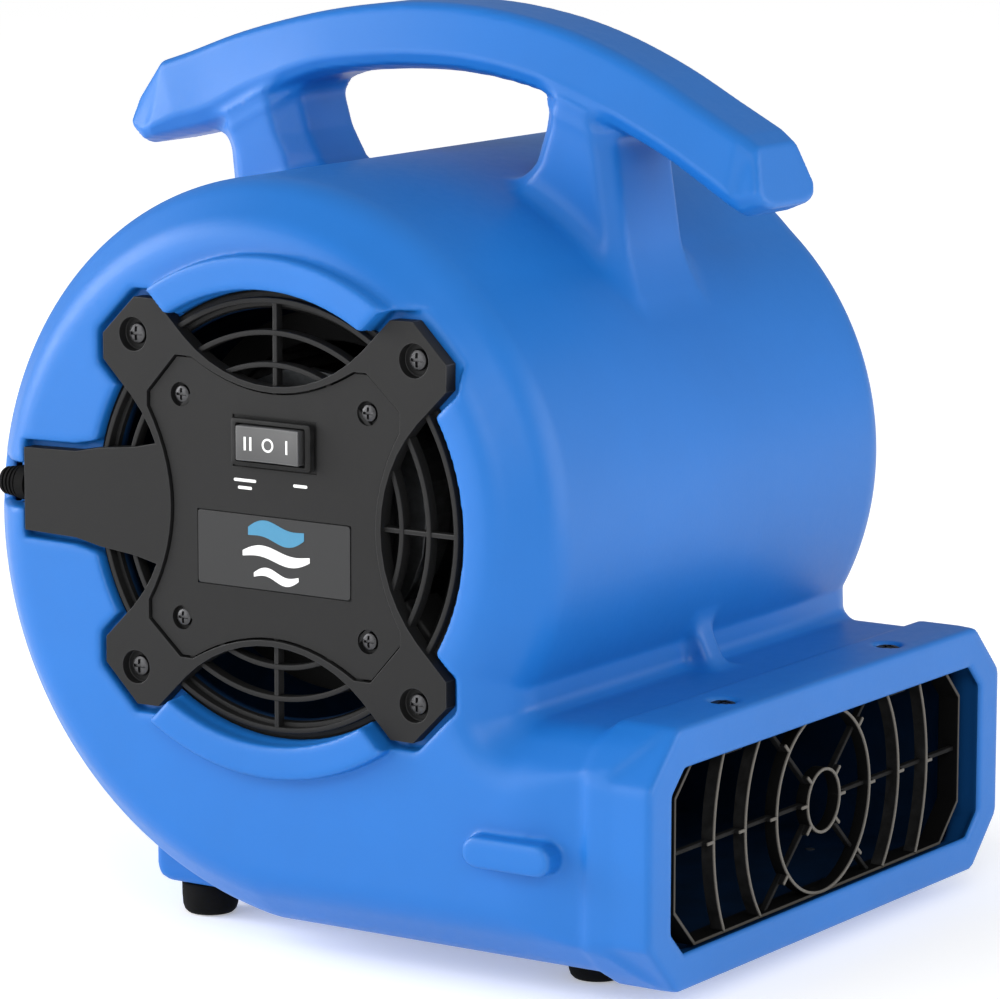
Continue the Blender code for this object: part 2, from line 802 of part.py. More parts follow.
def guard_rings(side, radii):
    """Rings and axis spokes of an intake guard, set back from its face."""
    outer = FACE_X - 0.0018
    inner = outer - RING_DEPTH
    low, high = sorted((side * outer, side * inner))
    pieces = [ring_bar("ring", radius, RING_BAR, low, high) for radius in radii]
    spoke_low, spoke_high = sorted((side * (outer - 0.0004), side * (inner + 0.0004)))
    depth = spoke_high - spoke_low
    middle = (spoke_low + spoke_high) / 2.0
    reach = 2.0 * radii[0]
    spokes = [
        box("spoke", (middle, 0.0, 0.0), (depth, 0.0016, reach)),
        box("spoke", (middle, 0.0, 0.0), (depth, reach, 0.0016)),
    ]
    return pieces, spokes


def guard_holes(shop, guard, side, with_inner):
    """Deep screw recesses and their clearance holes."""
    face = side * FACE_X
    recesses = []
    holes = []
    for sy, sz in screw_spots():
        spot = (sy * OUTER_SCREW, sz * OUTER_SCREW)
        recess = sorted((face + side * 0.0050, face - side * 0.0032))
        recesses.append(disc("recess", 0.0050, recess[0], recess[1], ALONG_X, spot, RECESS_STEPS))
        through = sorted((face - side * 0.0020, face - side * 0.0200))
        holes.append(disc("hole", 0.0020, through[0], through[1], ALONG_X, spot, HOLE_STEPS))
        if with_inner:
            spot = (sy * INNER_SCREW, sz * INNER_SCREW)
            holes.append(disc("hole", 0.0016, through[0], through[1], ALONG_X, spot, HOLE_STEPS))
    shop.combine(guard, "DIFFERENCE", join_meshes("recesses", recesses), "recesses")
    shop.combine(guard, "DIFFERENCE", join_meshes("holes", holes), "holes")


def build_guard(shop, side, name):
    """Four-armed black guard with rings behind its arms."""
    low, high = sorted((side * FACE_X, side * (FACE_X - GUARD_THICKNESS)))
    body = plate(f"{name}_body", [guard_outline()], low, high)
    guard = shop.part(name, body, "black_plastic")
    rings, spokes = guard_rings(side, GUARD_RING_RADII)
    shop.combine(guard, "UNION", join_meshes("spoke_a", [spokes[0]]), "upright_spoke")
    shop.combine(guard, "UNION", join_meshes("spoke_b", [spokes[1]]), "level_spoke")
    shop.combine(guard, "UNION", join_meshes("rings", rings), "rings")
    boss = sorted((side * (FACE_X - GUARD_THICKNESS + 0.0010), side * BOSS_BACK_X))
    shop.combine(guard, "UNION", disc("boss", BOSS_RADIUS, boss[0], boss[1]), "boss")
    if side < 0.0:
        arm = plate("cord_arm", [cord_arm_outline()], low, high)
        shop.combine(guard, "UNION", arm, "cord_arm")
        cut_guard_seat(shop, guard)
    guard_holes(shop, guard, side, side < 0.0)
    return guard


def cut_guard_seat(shop, guard):
    """Seat for the switch plate and the window for the switch body."""
    seat_floor = -(FACE_X - PLATE_DROP - PLATE_THICKNESS - FIT_GAP)
    seat = plate("plate_seat", [switch_plate_outline(PLATE_CLEARANCE)], -0.1200, seat_floor)
    shop.combine(guard, "DIFFERENCE", seat, "plate_seat")
    window = box(
        "switch_window",
        (-0.1000, SWITCH_Y, SWITCH_Z),
        (0.0300, SWITCH_BODY_LENGTH + 0.0010, SWITCH_BODY_HEIGHT + 0.0010),
    )
    shop.combine(guard, "DIFFERENCE", window, "switch_window")


def build_far_cover(shop):
    """Plain round centre cap of the far guard."""
    low, high = FACE_X + FIT_GAP, FACE_X + 0.0018
    cap = plate("far_centre_cap", [switch_plate_outline(-0.0030)], low, high, edge=0.0004)
    return shop.part("far_centre_cap", cap, "black_plastic")


def build_switch_plate(shop):
    """Centre plate with screw wells, a label recess and the switch window."""
    top = -(FACE_X - PLATE_DROP)
    body = plate(
        "switch_plate",
        [
            switch_plate_outline(),
            rectangle((SWITCH_Y, SWITCH_Z), SWITCH_BODY_LENGTH + 0.0006, SWITCH_BODY_HEIGHT + 0.0006),
        ],
        top,
        top + PLATE_THICKNESS,
    )
    made = shop.part("switch_plate", body, "black_plastic")
    recess = box(
        "label_recess",
        (top - 0.0044, 0.0, LABEL_Z),
        (0.0100, LABEL_LENGTH + 0.0006, LABEL_HEIGHT + 0.0006),
    )
    shop.combine(made, "DIFFERENCE", recess, "label_recess")
    wells = []
    holes = []
    for sy, sz in screw_spots():
        spot = (sy * INNER_SCREW, sz * INNER_SCREW)
        wells.append(disc("well", 0.0036, top - 0.0040, top + 0.0018, ALONG_X, spot, RECESS_STEPS))
        holes.append(disc("hole", 0.0016, top + 0.0010, top + 0.0080, ALONG_X, spot, HOLE_STEPS))
    shop.combine(made, "DIFFERENCE", join_meshes("wells", wells), "wells")
    shop.combine(made, "DIFFERENCE", join_meshes("holes", holes), "holes")
    return made


def build_label(shop):
    """Plain label film let into the switch plate."""
    top = -(FACE_X - PLATE_DROP)
    film = box("label_plate", (top + 0.00015, 0.0, LABEL_Z), (0.0006, LABEL_LENGTH, LABEL_HEIGHT))
    return shop.part("label_plate", film, "label_film")


def build_switch(shop):
    """Bezel with its body, hollow for the rocker."""
    face = -(FACE_X - PLATE_DROP)
    flange = plate(
        "switch_body",
        [
            rectangle((SWITCH_Y, SWITCH_Z), BEZEL_LENGTH, BEZEL_HEIGHT),
            rectangle((SWITCH_Y, SWITCH_Z), SWITCH_BODY_LENGTH - 0.0014, SWITCH_BODY_HEIGHT - 0.0012),
        ],
        face - BEZEL_PROUD,
        face - FIT_GAP,
    )
    made = shop.part("switch_body", flange, "black_plastic")
    start = face - BEZEL_PROUD / 2.0
    length = -SWITCH_BACK_X - start
    body = box(
        "switch_can",
        (start + length / 2.0, SWITCH_Y, SWITCH_Z),
        (length, SWITCH_BODY_LENGTH, SWITCH_BODY_HEIGHT),
    )
    shop.combine(made, "UNION", body, "can")
    hollow = box(
        "rocker_space",
        (-0.1060, SWITCH_Y, SWITCH_Z),
        (0.0120, SWITCH_BODY_LENGTH - 0.0014, SWITCH_BODY_HEIGHT - 0.0012),
    )
    shop.combine(made, "DIFFERENCE", hollow, "rocker_space")
    return made


def build_rocker(shop):
    """Three-position rocker, pivoting on an upright axis."""
    pivot = shop.empty("rocker_axis", (ROCKER_AXIS_X, SWITCH_Y, SWITCH_Z))
    half = ROCKER_LENGTH / 2.0
    outline = [
        (-0.1090, SWITCH_Y - half),
        (-0.1084, SWITCH_Y - half * 0.5),
        (-0.1082, SWITCH_Y),
        (-0.1084, SWITCH_Y + half * 0.5),
        (-0.1090, SWITCH_Y + half),
        (-0.1050, SWITCH_Y + half * 0.96),
        (-0.1022, SWITCH_Y + half * 0.45),
        (-0.1016, SWITCH_Y),
        (-0.1022, SWITCH_Y - half * 0.45),
        (-0.1050, SWITCH_Y - half * 0.96),
    ]
    low = SWITCH_Z - ROCKER_HEIGHT / 2.0
    body = plate("switch_rocker", [outline], low, low + ROCKER_HEIGHT, UPRIGHT, 0.0003)
    return shop.part("switch_rocker", body, "switch_plastic", pivot)


def build_gland(shop):
    """Cord gland at the rear end of the wiring channel."""
    profile = (
        (0.0030, -0.0930),
        (0.0053, -0.0930),
        (0.0053, -0.0965),
        (0.0046, -0.0972),
        (0.0041, -0.1030),
        (0.0030, -0.1030),
    )
    body = turned("cord_gland", profile, ALONG_Y, (-0.1016, 0.0007), 16)
    return shop.part("cord_gland", body, "black_rubber")


# -------------------------------------------------------------------- screws
def screw_mesh(name, head_radius, head, shank_radius, tip, frame, centre):
    """A pan-head screw blank; head and tip are levels along its axis."""
    inward = 1.0 if tip > head else -1.0
    under = head + inward * 0.0014
    profile = (
        (0.0, head),
        (head_radius, head),
        (head_radius, under),
        (shank_radius, under),
        (shank_radius, tip),
        (0.0, tip),
    )
    return turned(name, profile, frame, centre, SCREW_STEPS)


def add_screw(shop, name, head_radius, head, shank_radius, tip, frame, centre):
    """Add one cross-recess screw."""
    mesh = screw_mesh(name, head_radius, head, shank_radius, tip, frame, centre)
    made = shop.part(name, mesh, "zinc_steel")
    long_side = head_radius * 1.30
    short_side = head_radius * 0.28
    for label, length, height in (("slot_a", long_side, short_side), ("slot_b", short_side, long_side)):
        outline = rectangle(centre, length, height)
        slot = plate(label, [outline], head - CROSS_DEPTH, head + CROSS_DEPTH, frame)
        shop.combine(made, "DIFFERENCE", slot, label)
    return made


def build_screws(shop):
    """Guard, plate, collar and foot screws."""
    names = ("rear_top", "front_top", "front_bottom", "rear_bottom")
    face = FACE_X
    for label, (sy, sz) in zip(names, screw_spots()):
        spot = (sy * OUTER_SCREW, sz * OUTER_SCREW)
        add_screw(
            shop, f"guard_screw_switch_side_{label}", 0.0031,
            -(face - 0.0015), 0.0016, -0.0990, ALONG_X, spot,
        )
        add_screw(
            shop, f"guard_screw_far_side_{label}", 0.0031,
            face - 0.0015, 0.0016, 0.0990, ALONG_X, spot,
        )
        inner = (sy * INNER_SCREW, sz * INNER_SCREW)
        add_screw(
            shop, f"plate_screw_{label}", 0.0026,
            -(face - PLATE_DROP - 0.0002), 0.0012, -0.0985, ALONG_X, inner,
        )
    for side, label in ((-1.0, "left"), (1.0, "right")):
        spot = (side * COLLAR_SCREW_X, COLLAR_SCREW_Y)
        add_screw(
            shop, f"collar_screw_{label}", 0.0033,
            COLLAR_TOP_Z - 0.0006, 0.0015, -0.0640, UPRIGHT, spot,
        )
        for foot_y, end in ((FOOT_FRONT_Y, "front"), (FOOT_REAR_Y, "rear")):
            add_screw(
                shop, f"foot_screw_{end}_{label}", 0.0034,
                -0.1312, 0.0015, -0.1202, UPRIGHT, (side * FOOT_X, foot_y),
            )


# ------------------------------------------------------------- motor and wheel
def build_motor(shop):
    """Motor shell parts, hung from the switch-side guard by four posts."""
    mid_front = MOTOR_FRONT_X + 0.0150
    mid_back = MOTOR_BACK_X - 0.0150
    bell = (
        (SHAFT_RADIUS + 0.0078, MOTOR_FRONT_X),
        (MOTOR_RADIUS - 0.0060, MOTOR_FRONT_X),
        (MOTOR_RADIUS, MOTOR_FRONT_X + 0.0050),
        (MOTOR_RADIUS, mid_front - FIT_GAP),
        (MOTOR_RADIUS - 0.0030, mid_front - FIT_GAP),
        (MOTOR_RADIUS - 0.0030, MOTOR_FRONT_X + 0.0070),
        (SHAFT_RADIUS + 0.0078, MOTOR_FRONT_X + 0.0040),
    )
    shop.part("motor_front_bell", turned("bell", bell, steps=MOTOR_STEPS), "cast_aluminium")
    flip = MOTOR_FRONT_X + MOTOR_BACK_X
    rear = tuple((radius, flip - level) for radius, level in bell)
    shop.part("motor_rear_bell", turned("bell", rear, steps=MOTOR_STEPS), "cast_aluminium")
    stator = (
        (0.0240, mid_front),
        (MOTOR_RADIUS - 0.0004, mid_front),
        (MOTOR_RADIUS - 0.0004, mid_back),
        (0.0240, mid_back),
    )
    shop.part("motor_stator", turned("stator", stator, steps=MOTOR_STEPS), "motor_steel")
    ring = [circle(MOTOR_RADIUS + 0.0035, MOTOR_STEPS), circle(0.0300, MOTOR_STEPS)]
    mount = shop.part(
        "motor_mount",
        plate("motor_mount", ring, MOTOR_FRONT_X - 0.0033, MOTOR_FRONT_X - FIT_GAP),
        "motor_steel",
    )
    posts = []
    for sy, sz in screw_spots():
        spot = (sy * MOTOR_POST, sz * MOTOR_POST)
        low, high = -(BOSS_BACK_X - FIT_GAP), MOTOR_FRONT_X - 0.0020
        posts.append(disc("post", 0.0030, low, high, ALONG_X, spot, SCREW_STEPS))
    shop.combine(mount, "UNION", join_meshes("posts", posts), "posts")


def build_rotor(shop, axis):
    """Shaft, rotor and fan wheel, all turning together."""
    shaft = disc("shaft", SHAFT_RADIUS, MOTOR_FRONT_X - 0.0020, 0.0110, steps=16)
    shop.part("motor_shaft", shaft, "motor_steel", axis)
    rotor = (
        (SHAFT_RADIUS + FIT_GAP, MOTOR_FRONT_X + 0.0155),
        (0.0232, MOTOR_FRONT_X + 0.0155),
        (0.0232, MOTOR_BACK_X - 0.0155),
        (SHAFT_RADIUS + FIT_GAP, MOTOR_BACK_X - 0.0155),
    )
    shop.part("motor_rotor", turned("rotor", rotor, steps=MOTOR_STEPS), "motor_steel", axis)


def build_bearings(shop):
    """One ball bearing in each end bell."""
    front = MOTOR_FRONT_X + 0.0002
    rear = MOTOR_BACK_X - 0.0042
    for name, start in (("bearing_front", front), ("bearing_rear", rear)):
        profile = (
            (SHAFT_RADIUS + FIT_GAP, start),
            (SHAFT_RADIUS + 0.0075, start),
            (SHAFT_RADIUS + 0.0075, start + 0.0040),
            (SHAFT_RADIUS + FIT_GAP, start + 0.0040),
        )
        shop.part(name, turned(name, profile, steps=MOTOR_STEPS), "zinc_steel")


def blade_outline(index):
    """Forward-leaning blade between the rim radii."""
    turn = math.tau * index / WHEEL_BLADES
    inner = []
    outer = []
    for radius, lean in (
        (WHEEL_INNER_RADIUS + 0.0004, 0.0),
        (WHEEL_OUTER_RADIUS - 0.0004, math.radians(13.0)),
    ):
        thick = 0.0007 / radius
        inner.append((radius * math.cos(turn + lean - thick), radius * math.sin(turn + lean - thick)))
        outer.append((radius * math.cos(turn + lean + thick), radius * math.sin(turn + lean + thick)))
    return inner + outer[::-1]


def build_wheel(shop, axis):
    """Double-inlet wheel: centre disc, hub, two rims and two rows of blades."""
    profile = (
        (SHAFT_RADIUS + FIT_GAP, -0.0120),
        (HUB_RADIUS, -0.0120),
        (HUB_RADIUS, -0.0012),
        (WHEEL_OUTER_RADIUS, -0.0012),
        (WHEEL_OUTER_RADIUS, 0.0012),
        (HUB_RADIUS, 0.0012),
        (HUB_RADIUS, 0.0100),
        (SHAFT_RADIUS + FIT_GAP, 0.0100),
    )
    wheel = shop.part("fan_wheel", turned("fan_wheel", profile, steps=ROUND_STEPS), "wheel_plastic", axis)
    blades = [
        plate("blade", [blade_outline(index)], -WHEEL_HALF_WIDTH + 0.0010, WHEEL_HALF_WIDTH - 0.0010)
        for index in range(WHEEL_BLADES)
    ]
    shop.combine(wheel, "UNION", join_meshes("blades", blades), "blades")
    rims = []
    for side in (-1.0, 1.0):
        low, high = sorted((side * WHEEL_HALF_WIDTH, side * (WHEEL_HALF_WIDTH - 0.0030)))
        profile = (
            (WHEEL_INNER_RADIUS, low),
            (WHEEL_OUTER_RADIUS, low),
            (WHEEL_OUTER_RADIUS, high),
            (WHEEL_INNER_RADIUS, high),
        )
        rims.append(turned("rim", profile))
    shop.combine(wheel, "UNION", join_meshes("rims", rims), "rims")


def build_capacitor(shop):
    """Run capacitor behind the lower front arm of the guard."""
    corners = ((0.0440, -0.0130), (0.0585, -0.0130), (0.0585, 0.0130), (0.0440, 0.0130))
    outline = [on_diagonal(along, across, 2) for along, across in corners]
    body = plate("run_capacitor", [outline], -0.0980, -0.0805, edge=0.0008)
    shop.part("run_capacitor", body, "black_plastic")


# -------------------------------------------------------------- outlet grille
def build_outlet_grille(shop):
    """Rings and spokes in an eight-sided loop, with two screw tabs."""
    front = -GRILLE_FRONT_Y
    centre = (0.0, GRILLE_Z)
    body = ring_bar("outlet_grille", GRILLE_RADII[0], GRILLE_BAR, front - 0.0042, front, ALONG_Y, centre)
    grille = shop.part("outlet_grille", body, "black_plastic")
    spokes = []
    for angle_deg in (0.0, 42.0, 138.0):
        angle = math.radians(angle_deg)
        spoke = box("spoke", (0.0, 0.0, 0.0), (0.1900, 0.0026, GRILLE_BAR))
        place = Matrix.Translation((0.0, 0.0028 - front, GRILLE_Z))
        spoke.transform(place @ Matrix.Rotation(-angle, 4, "Y"))
        spokes.append(spoke)
    for index, spoke in enumerate(spokes):
        shop.combine(grille, "UNION", spoke, f"spoke_{index}")
    rings = [
        ring_bar("ring", radius, GRILLE_BAR, front - 0.0042, front, ALONG_Y, centre)
        for radius in GRILLE_RADII[1:]
    ]
    shop.combine(grille, "UNION", join_meshes("rings", rings), "rings")
    bore_radius = GRILLE_RADII[0] - GRILLE_BAR / 2.0 - 0.0001
    bore = disc("bore", bore_radius, front - 0.0100, front + 0.0100, ALONG_Y, centre)
    shop.combine(grille, "DIFFERENCE", bore, "centre_bore")
    low, high = GRILLE_Z - GRILLE_HALF_Z, GRILLE_Z + GRILLE_HALF_Z
    frame_edge = octagon(GRILLE_HALF_X - 0.0005, low + 0.0005, high - 0.0005, GRILLE_CORNER)
    window = plate("window", [frame_edge], front - 0.0200, front + 0.0100, ALONG_Y)
    shop.combine(grille, "INTERSECT", window, "window")
    loop = plate(
        "loop",
        [
            octagon(GRILLE_HALF_X, low, high, GRILLE_CORNER),
            octagon(
                GRILLE_HALF_X - GRILLE_BAR, low + GRILLE_BAR, high - GRILLE_BAR, GRILLE_CORNER - 0.0006
            ),
        ],
        front - 0.0075,
        front - 0.0003,
        ALONG_Y,
    )
    shop.combine(grille, "UNION", loop, "loop")
    tabs = []
    for side in (-1.0, 1.0):
        middle = (side * COLLAR_SCREW_X, COLLAR_SCREW_Y, -0.0625)
        tabs.append(box("tab", middle, (0.0100, 0.0080, 0.0060)))
    shop.combine(grille, "UNION", join_meshes("tabs", tabs), "tabs")
    holes = []
    for side in (-1.0, 1.0):
        spot = (side * COLLAR_SCREW_X, COLLAR_SCREW_Y)
        holes.append(disc("hole", 0.0019, -0.0700, -0.0580, UPRIGHT, spot, HOLE_STEPS))
    shop.combine(grille, "DIFFERENCE", join_meshes("holes", holes), "tab_holes")


# ------------------------------------------------------------------------ feet
def build_feet(shop):
    """Four rubber feet, each with a recess for its screw."""
    for side, label in ((-1.0, "left"), (1.0, "right")):
        for foot_y, end in ((FOOT_FRONT_Y, "front"), (FOOT_REAR_Y, "rear")):
            profile = (
                (0.0019, BOTTOM_Z - FIT_GAP),
                (FOOT_RADIUS, BOTTOM_Z - FIT_GAP),
                (FOOT_RADIUS - 0.0003, BOTTOM_Z - 0.0075),
                (FOOT_RADIUS - 0.0017, -AXIS_HEIGHT),
                (0.0042, -AXIS_HEIGHT),
                (0.0042, BOTTOM_Z - 0.0045),
                (0.0019, BOTTOM_Z - 0.0045),
            )
            body = turned("foot", profile, UPRIGHT, (side * FOOT_X, foot_y), FOOT_STEPS)
            shop.part(f"foot_{end}_{label}", body, "black_rubber")


def main():
    """Build every part of the air mover."""
    clear_scene()
    shop = Workshop()
    build_housing(shop)
    build_guard(shop, -1.0, "intake_guard_switch_side")
    build_guard(shop, 1.0, "intake_guard_far_side")
    build_far_cover(shop)
    build_switch_plate(shop)
    build_label(shop)
    build_switch(shop)
    build_rocker(shop)
    build_gland(shop)
    build_screws(shop)
    build_motor(shop)
    build_bearings(shop)
    axis = shop.empty("fan_axis", (0.0, 0.0, 0.0))
    build_rotor(shop, axis)
    build_wheel(shop, axis)
    build_capacitor(shop)
    build_outlet_grille(shop)
    build_feet(shop)
    bpy.context.view_layer.update()


main()
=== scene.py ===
"""Looks of a small commercial air mover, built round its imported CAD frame.

Shapes are drawn in millimetres round the fan axis: X along the axis, -Y towards
the outlet, +Z up, the switch on the -X side.  Each piece is then scaled to
metres, moved to the fan axis of the frame and rides on its CAD body.
"""

import json
import math

import bmesh
import bpy
import numpy as np
from bpy.props import FloatProperty, FloatVectorProperty, IntProperty, PointerProperty
from bpy.types import Operator, Panel, PropertyGroup
from mathutils import Matrix, Vector

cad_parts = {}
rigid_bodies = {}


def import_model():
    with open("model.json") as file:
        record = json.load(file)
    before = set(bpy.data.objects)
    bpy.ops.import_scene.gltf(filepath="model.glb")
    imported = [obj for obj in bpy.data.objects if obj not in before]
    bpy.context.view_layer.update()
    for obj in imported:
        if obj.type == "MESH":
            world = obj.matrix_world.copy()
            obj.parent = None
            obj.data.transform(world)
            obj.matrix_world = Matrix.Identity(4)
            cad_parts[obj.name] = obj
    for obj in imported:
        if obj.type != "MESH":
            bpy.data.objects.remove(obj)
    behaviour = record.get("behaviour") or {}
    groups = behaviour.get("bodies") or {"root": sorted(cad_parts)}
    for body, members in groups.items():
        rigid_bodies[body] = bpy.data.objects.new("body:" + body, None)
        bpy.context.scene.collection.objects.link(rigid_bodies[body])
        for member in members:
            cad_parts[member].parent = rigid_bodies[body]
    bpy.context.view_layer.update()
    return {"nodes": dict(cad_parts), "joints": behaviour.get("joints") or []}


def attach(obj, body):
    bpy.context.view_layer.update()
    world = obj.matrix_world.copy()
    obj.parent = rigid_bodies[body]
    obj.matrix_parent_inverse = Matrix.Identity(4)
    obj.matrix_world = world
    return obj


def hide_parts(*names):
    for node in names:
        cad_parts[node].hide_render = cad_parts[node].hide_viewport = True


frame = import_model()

bl_info = {
    "name": "Air mover",
    "version": (1, 0, 0),
    "blender": (4, 5, 0),
    "location": "View3D > Sidebar > Air mover",
    "description": "Builds the housing, guards, switch, grille and stage of an air mover",
    "category": "Object",
}

SPIN = next(joint for joint in frame["joints"] if joint["name"] == "fan_spin")
TILT = next(joint for joint in frame["joints"] if joint["name"] == "rocker_tilt")
FAN_AXIS = Vector(SPIN["pos_m"])
MACHINE, ROTOR, ROCKER = SPIN["parent"], SPIN["child"], TILT["child"]
TO_FRAME = Matrix.Translation(FAN_AXIS) @ Matrix.Scale(0.001, 4)
SKIN_PITCH = 0.0011

# drawing planes: local x, y, z -> fan X, Y, Z
SIDE = Matrix(((0, 0, 1, 0), (1, 0, 0, 0), (0, 1, 0, 0), (0, 0, 0, 1)))
FRONT = Matrix(((1, 0, 0, 0), (0, 0, -1, 0), (0, 1, 0, 0), (0, 0, 0, 1)))
FLAT = Matrix.Identity(4)

FACE = 107.6  # side faces of the drum
DRUM_RADIUS, DUCT_TOP, BASE = 90.5, -53.0, -125.0
DUCT_Z = -89.0  # middle of the duct and its grille
MOUTH_X, MOUTH_HEIGHT, MOUTH_Z, MOUTH_CORNER = 92.2, 27.05, -89.85, 7.1
COLLAR_X, COLLAR_HEIGHT, COLLAR_Z, COLLAR_CORNER = 104.6, 38.6, -89.3, 15.5
COLLAR_Y, COLLAR_HALF_DEPTH = -117.75, 10.25
PAD_INNER, PAD_OUTER, PAD_RISE = 66.6, 77.0, 5.4
LUG_Y, LUG_HALF_LENGTH, LUG_RADIUS = -84.5, 10.3, 4.7
HOLLOW_X, INTAKE_RADIUS, POCKET_RADIUS, POCKET_DEPTH = 98.6, 60.5, 66.4, 5.3
SLOT_HALF_HEIGHT, SCREW_WELL_RADIUS = 6.7, 4.2
CORD_X, CORD_Z = -101.6, 0.7  # axis of the cord gland
GUARD_WAIST, GUARD_SCREW, PLATE_SCREW = 38.4, 50.0, 33.35
GUARD_RING_RADII = (63.4, 54.0, 44.6)
GRILLE_RADII = (9.5, 27.8, 45.9, 63.8)
GRILLE_FRONT, GRILLE_BACK = -124.8, -120.6
HALF_ROOT = 0.7071
COLLAR_SCREWS = {"left": (-49.0, -118.4), "right": (49.0, -118.4)}
FEET = {
    "front_left": (-62.5, -84.5),
    "front_right": (62.5, -84.5),
    "rear_left": (-62.5, 56.5),
    "rear_right": (62.5, 56.5),
}
CORNERS = {
    "rear_top": (1, 1),
    "front_top": (-1, 1),
    "front_bottom": (-1, -1),
    "rear_bottom": (1, -1),
}
SWITCH_Y, SWITCH_Z = -0.45, 21.5
ROCKER_HALF = 11.2
PLATE = 1.0 - FACE  # outer face of the switch plate


# --- user settings
def length(name, description, default, **limits):
    """A length setting, in metres."""
    return FloatProperty(name=name, description=description, default=default, unit="LENGTH", **limits)


def paint(name, description, *default):
    """A colour setting, as linear values."""
    return FloatVectorProperty(name=name, description=description, subtype="COLOR", default=default)


class AIRMOVER_Sizes(PropertyGroup):
    """Sizes a user may change."""

    skin_pitch: length("Skin pitch", "Spacing of the housing's points", SKIN_PITCH, min=0.0005)
    wall: length("Wall", "Wall thickness of the housing", 0.003)
    rim_softness: length("Rim softness", "Rounding where the side face turns into the drum", 0.0045)
    leg_fillet: length("Leg fillet", "Fillet where the handle legs run into the drum", 0.008)
    blades: IntProperty(name="Blades", description="Blades on the fan wheel", default=42, min=12)


class AIRMOVER_Colours(PropertyGroup):
    """Colours a user may change, as linear values."""

    housing: paint("Housing", "Moulded body", 0.009, 0.130, 0.450)
    # painted shade colour for the inside of the body
    inside: paint("Inside", "Shaded inside of the body", 0.002, 0.010, 0.028)
    black: paint("Black plastic", "Guards and plates", 0.0110, 0.0110, 0.0112)
    rocker: paint("Rocker", "Switch rocker", 0.055, 0.055, 0.056)
    label: paint("Label", "Label film", 0.0170, 0.0173, 0.0180)
    mark: paint("Marks", "Printed marks", 0.800, 0.800, 0.790)
    emblem: paint("Emblem", "Coloured streak on the label", 0.050, 0.215, 0.360)
    # painted highlight colour for the front edges of the grille bars
    grille: paint("Grille rings", "Front edges of the outlet grille", 0.125, 0.117, 0.105)
    rubber: paint("Rubber", "Feet and gland", 0.004, 0.004, 0.004)
    steel: paint("Screws", "Dark plated screws", 0.075, 0.075, 0.078)


def sizes():
    """The size settings of the scene."""
    return bpy.context.scene.air_mover_sizes


def colours():
    """The colour settings of the scene."""
    return bpy.context.scene.air_mover_colours


# --- finishes
def add_node(tree, kind, **inputs):
    """Add a shader node and set its named inputs."""
    node = tree.nodes.new(kind)
    for name, value in inputs.items():
        node.inputs[name.replace("_", " ")].default_value = value
    return node


def noise(tree, place, scale, detail=3.0, rough=0.55):
    """Noise on the piece's own coordinates; its scale is in patterns per metre."""
    node = add_node(tree, "ShaderNodeTexNoise", Scale=scale, Detail=detail, Roughness=rough)
    tree.links.new(place, node.inputs["Vector"])
    return node.outputs["Fac"]


def ranged(tree, value, low, high, out_low, out_high):
    """Map a value's range to another, clamped."""
    node = tree.nodes.new("ShaderNodeMapRange")
    tree.links.new(value, node.inputs["Value"])
    limits = {"From Min": low, "From Max": high, "To Min": out_low, "To Max": out_high}
    for name, number in limits.items():
        node.inputs[name].default_value = number
    return node.outputs["Result"]


def times(tree, first, second):
    """Multiply two values."""
    node = tree.nodes.new("ShaderNodeMath")
    node.operation = "MULTIPLY"
    tree.links.new(first, node.inputs[0])
    tree.links.new(second, node.inputs[1])
    return node.outputs[0]


def blended(tree, share, first, second):
    """Mix two colours, each a socket or three numbers."""
    node = tree.nodes.new("ShaderNodeMix")
    node.data_type = "RGBA"
    tree.links.new(share, node.inputs["Factor"])
    for socket, colour in ((node.inputs[6], first), (node.inputs[7], second)):
        if isinstance(colour, bpy.types.NodeSocket):
            tree.links.new(colour, socket)
        else:
            socket.default_value = (*colour, 1.0)
    return node.outputs[2]


def shade_of(colour, factor):
    """A colour made darker or paler."""
    return tuple(min(1.0, channel * factor) for channel in colour)


def start_finish(name, shine):
    """A new material with its tree, shader and object coordinates."""
    material = bpy.data.materials.new(name)
    material.use_nodes = True
    tree = material.node_tree
    shader = tree.nodes["Principled BSDF"]
    shader.inputs["Specular IOR Level"].default_value = shine
    place = tree.nodes.new("ShaderNodeTexCoord").outputs["Object"]
    return material, tree, shader, place


def dress(tree, shader, colour, roughness, layers):
    """Connect colour and roughness, then bumps of (height, strength, distance)."""
    tree.links.new(colour, shader.inputs["Base Color"])
    if isinstance(roughness, float):
        shader.inputs["Roughness"].default_value = roughness
    else:
        tree.links.new(roughness, shader.inputs["Roughness"])
    surface = shader.inputs["Normal"]
    for height, strength, distance in layers:
        bump = add_node(tree, "ShaderNodeBump", Strength=strength, Distance=distance)
        tree.links.new(height, bump.inputs["Height"])
        if surface.is_linked:
            tree.links.new(surface.links[0].from_socket, bump.inputs["Normal"])
        tree.links.new(bump.outputs["Normal"], surface)


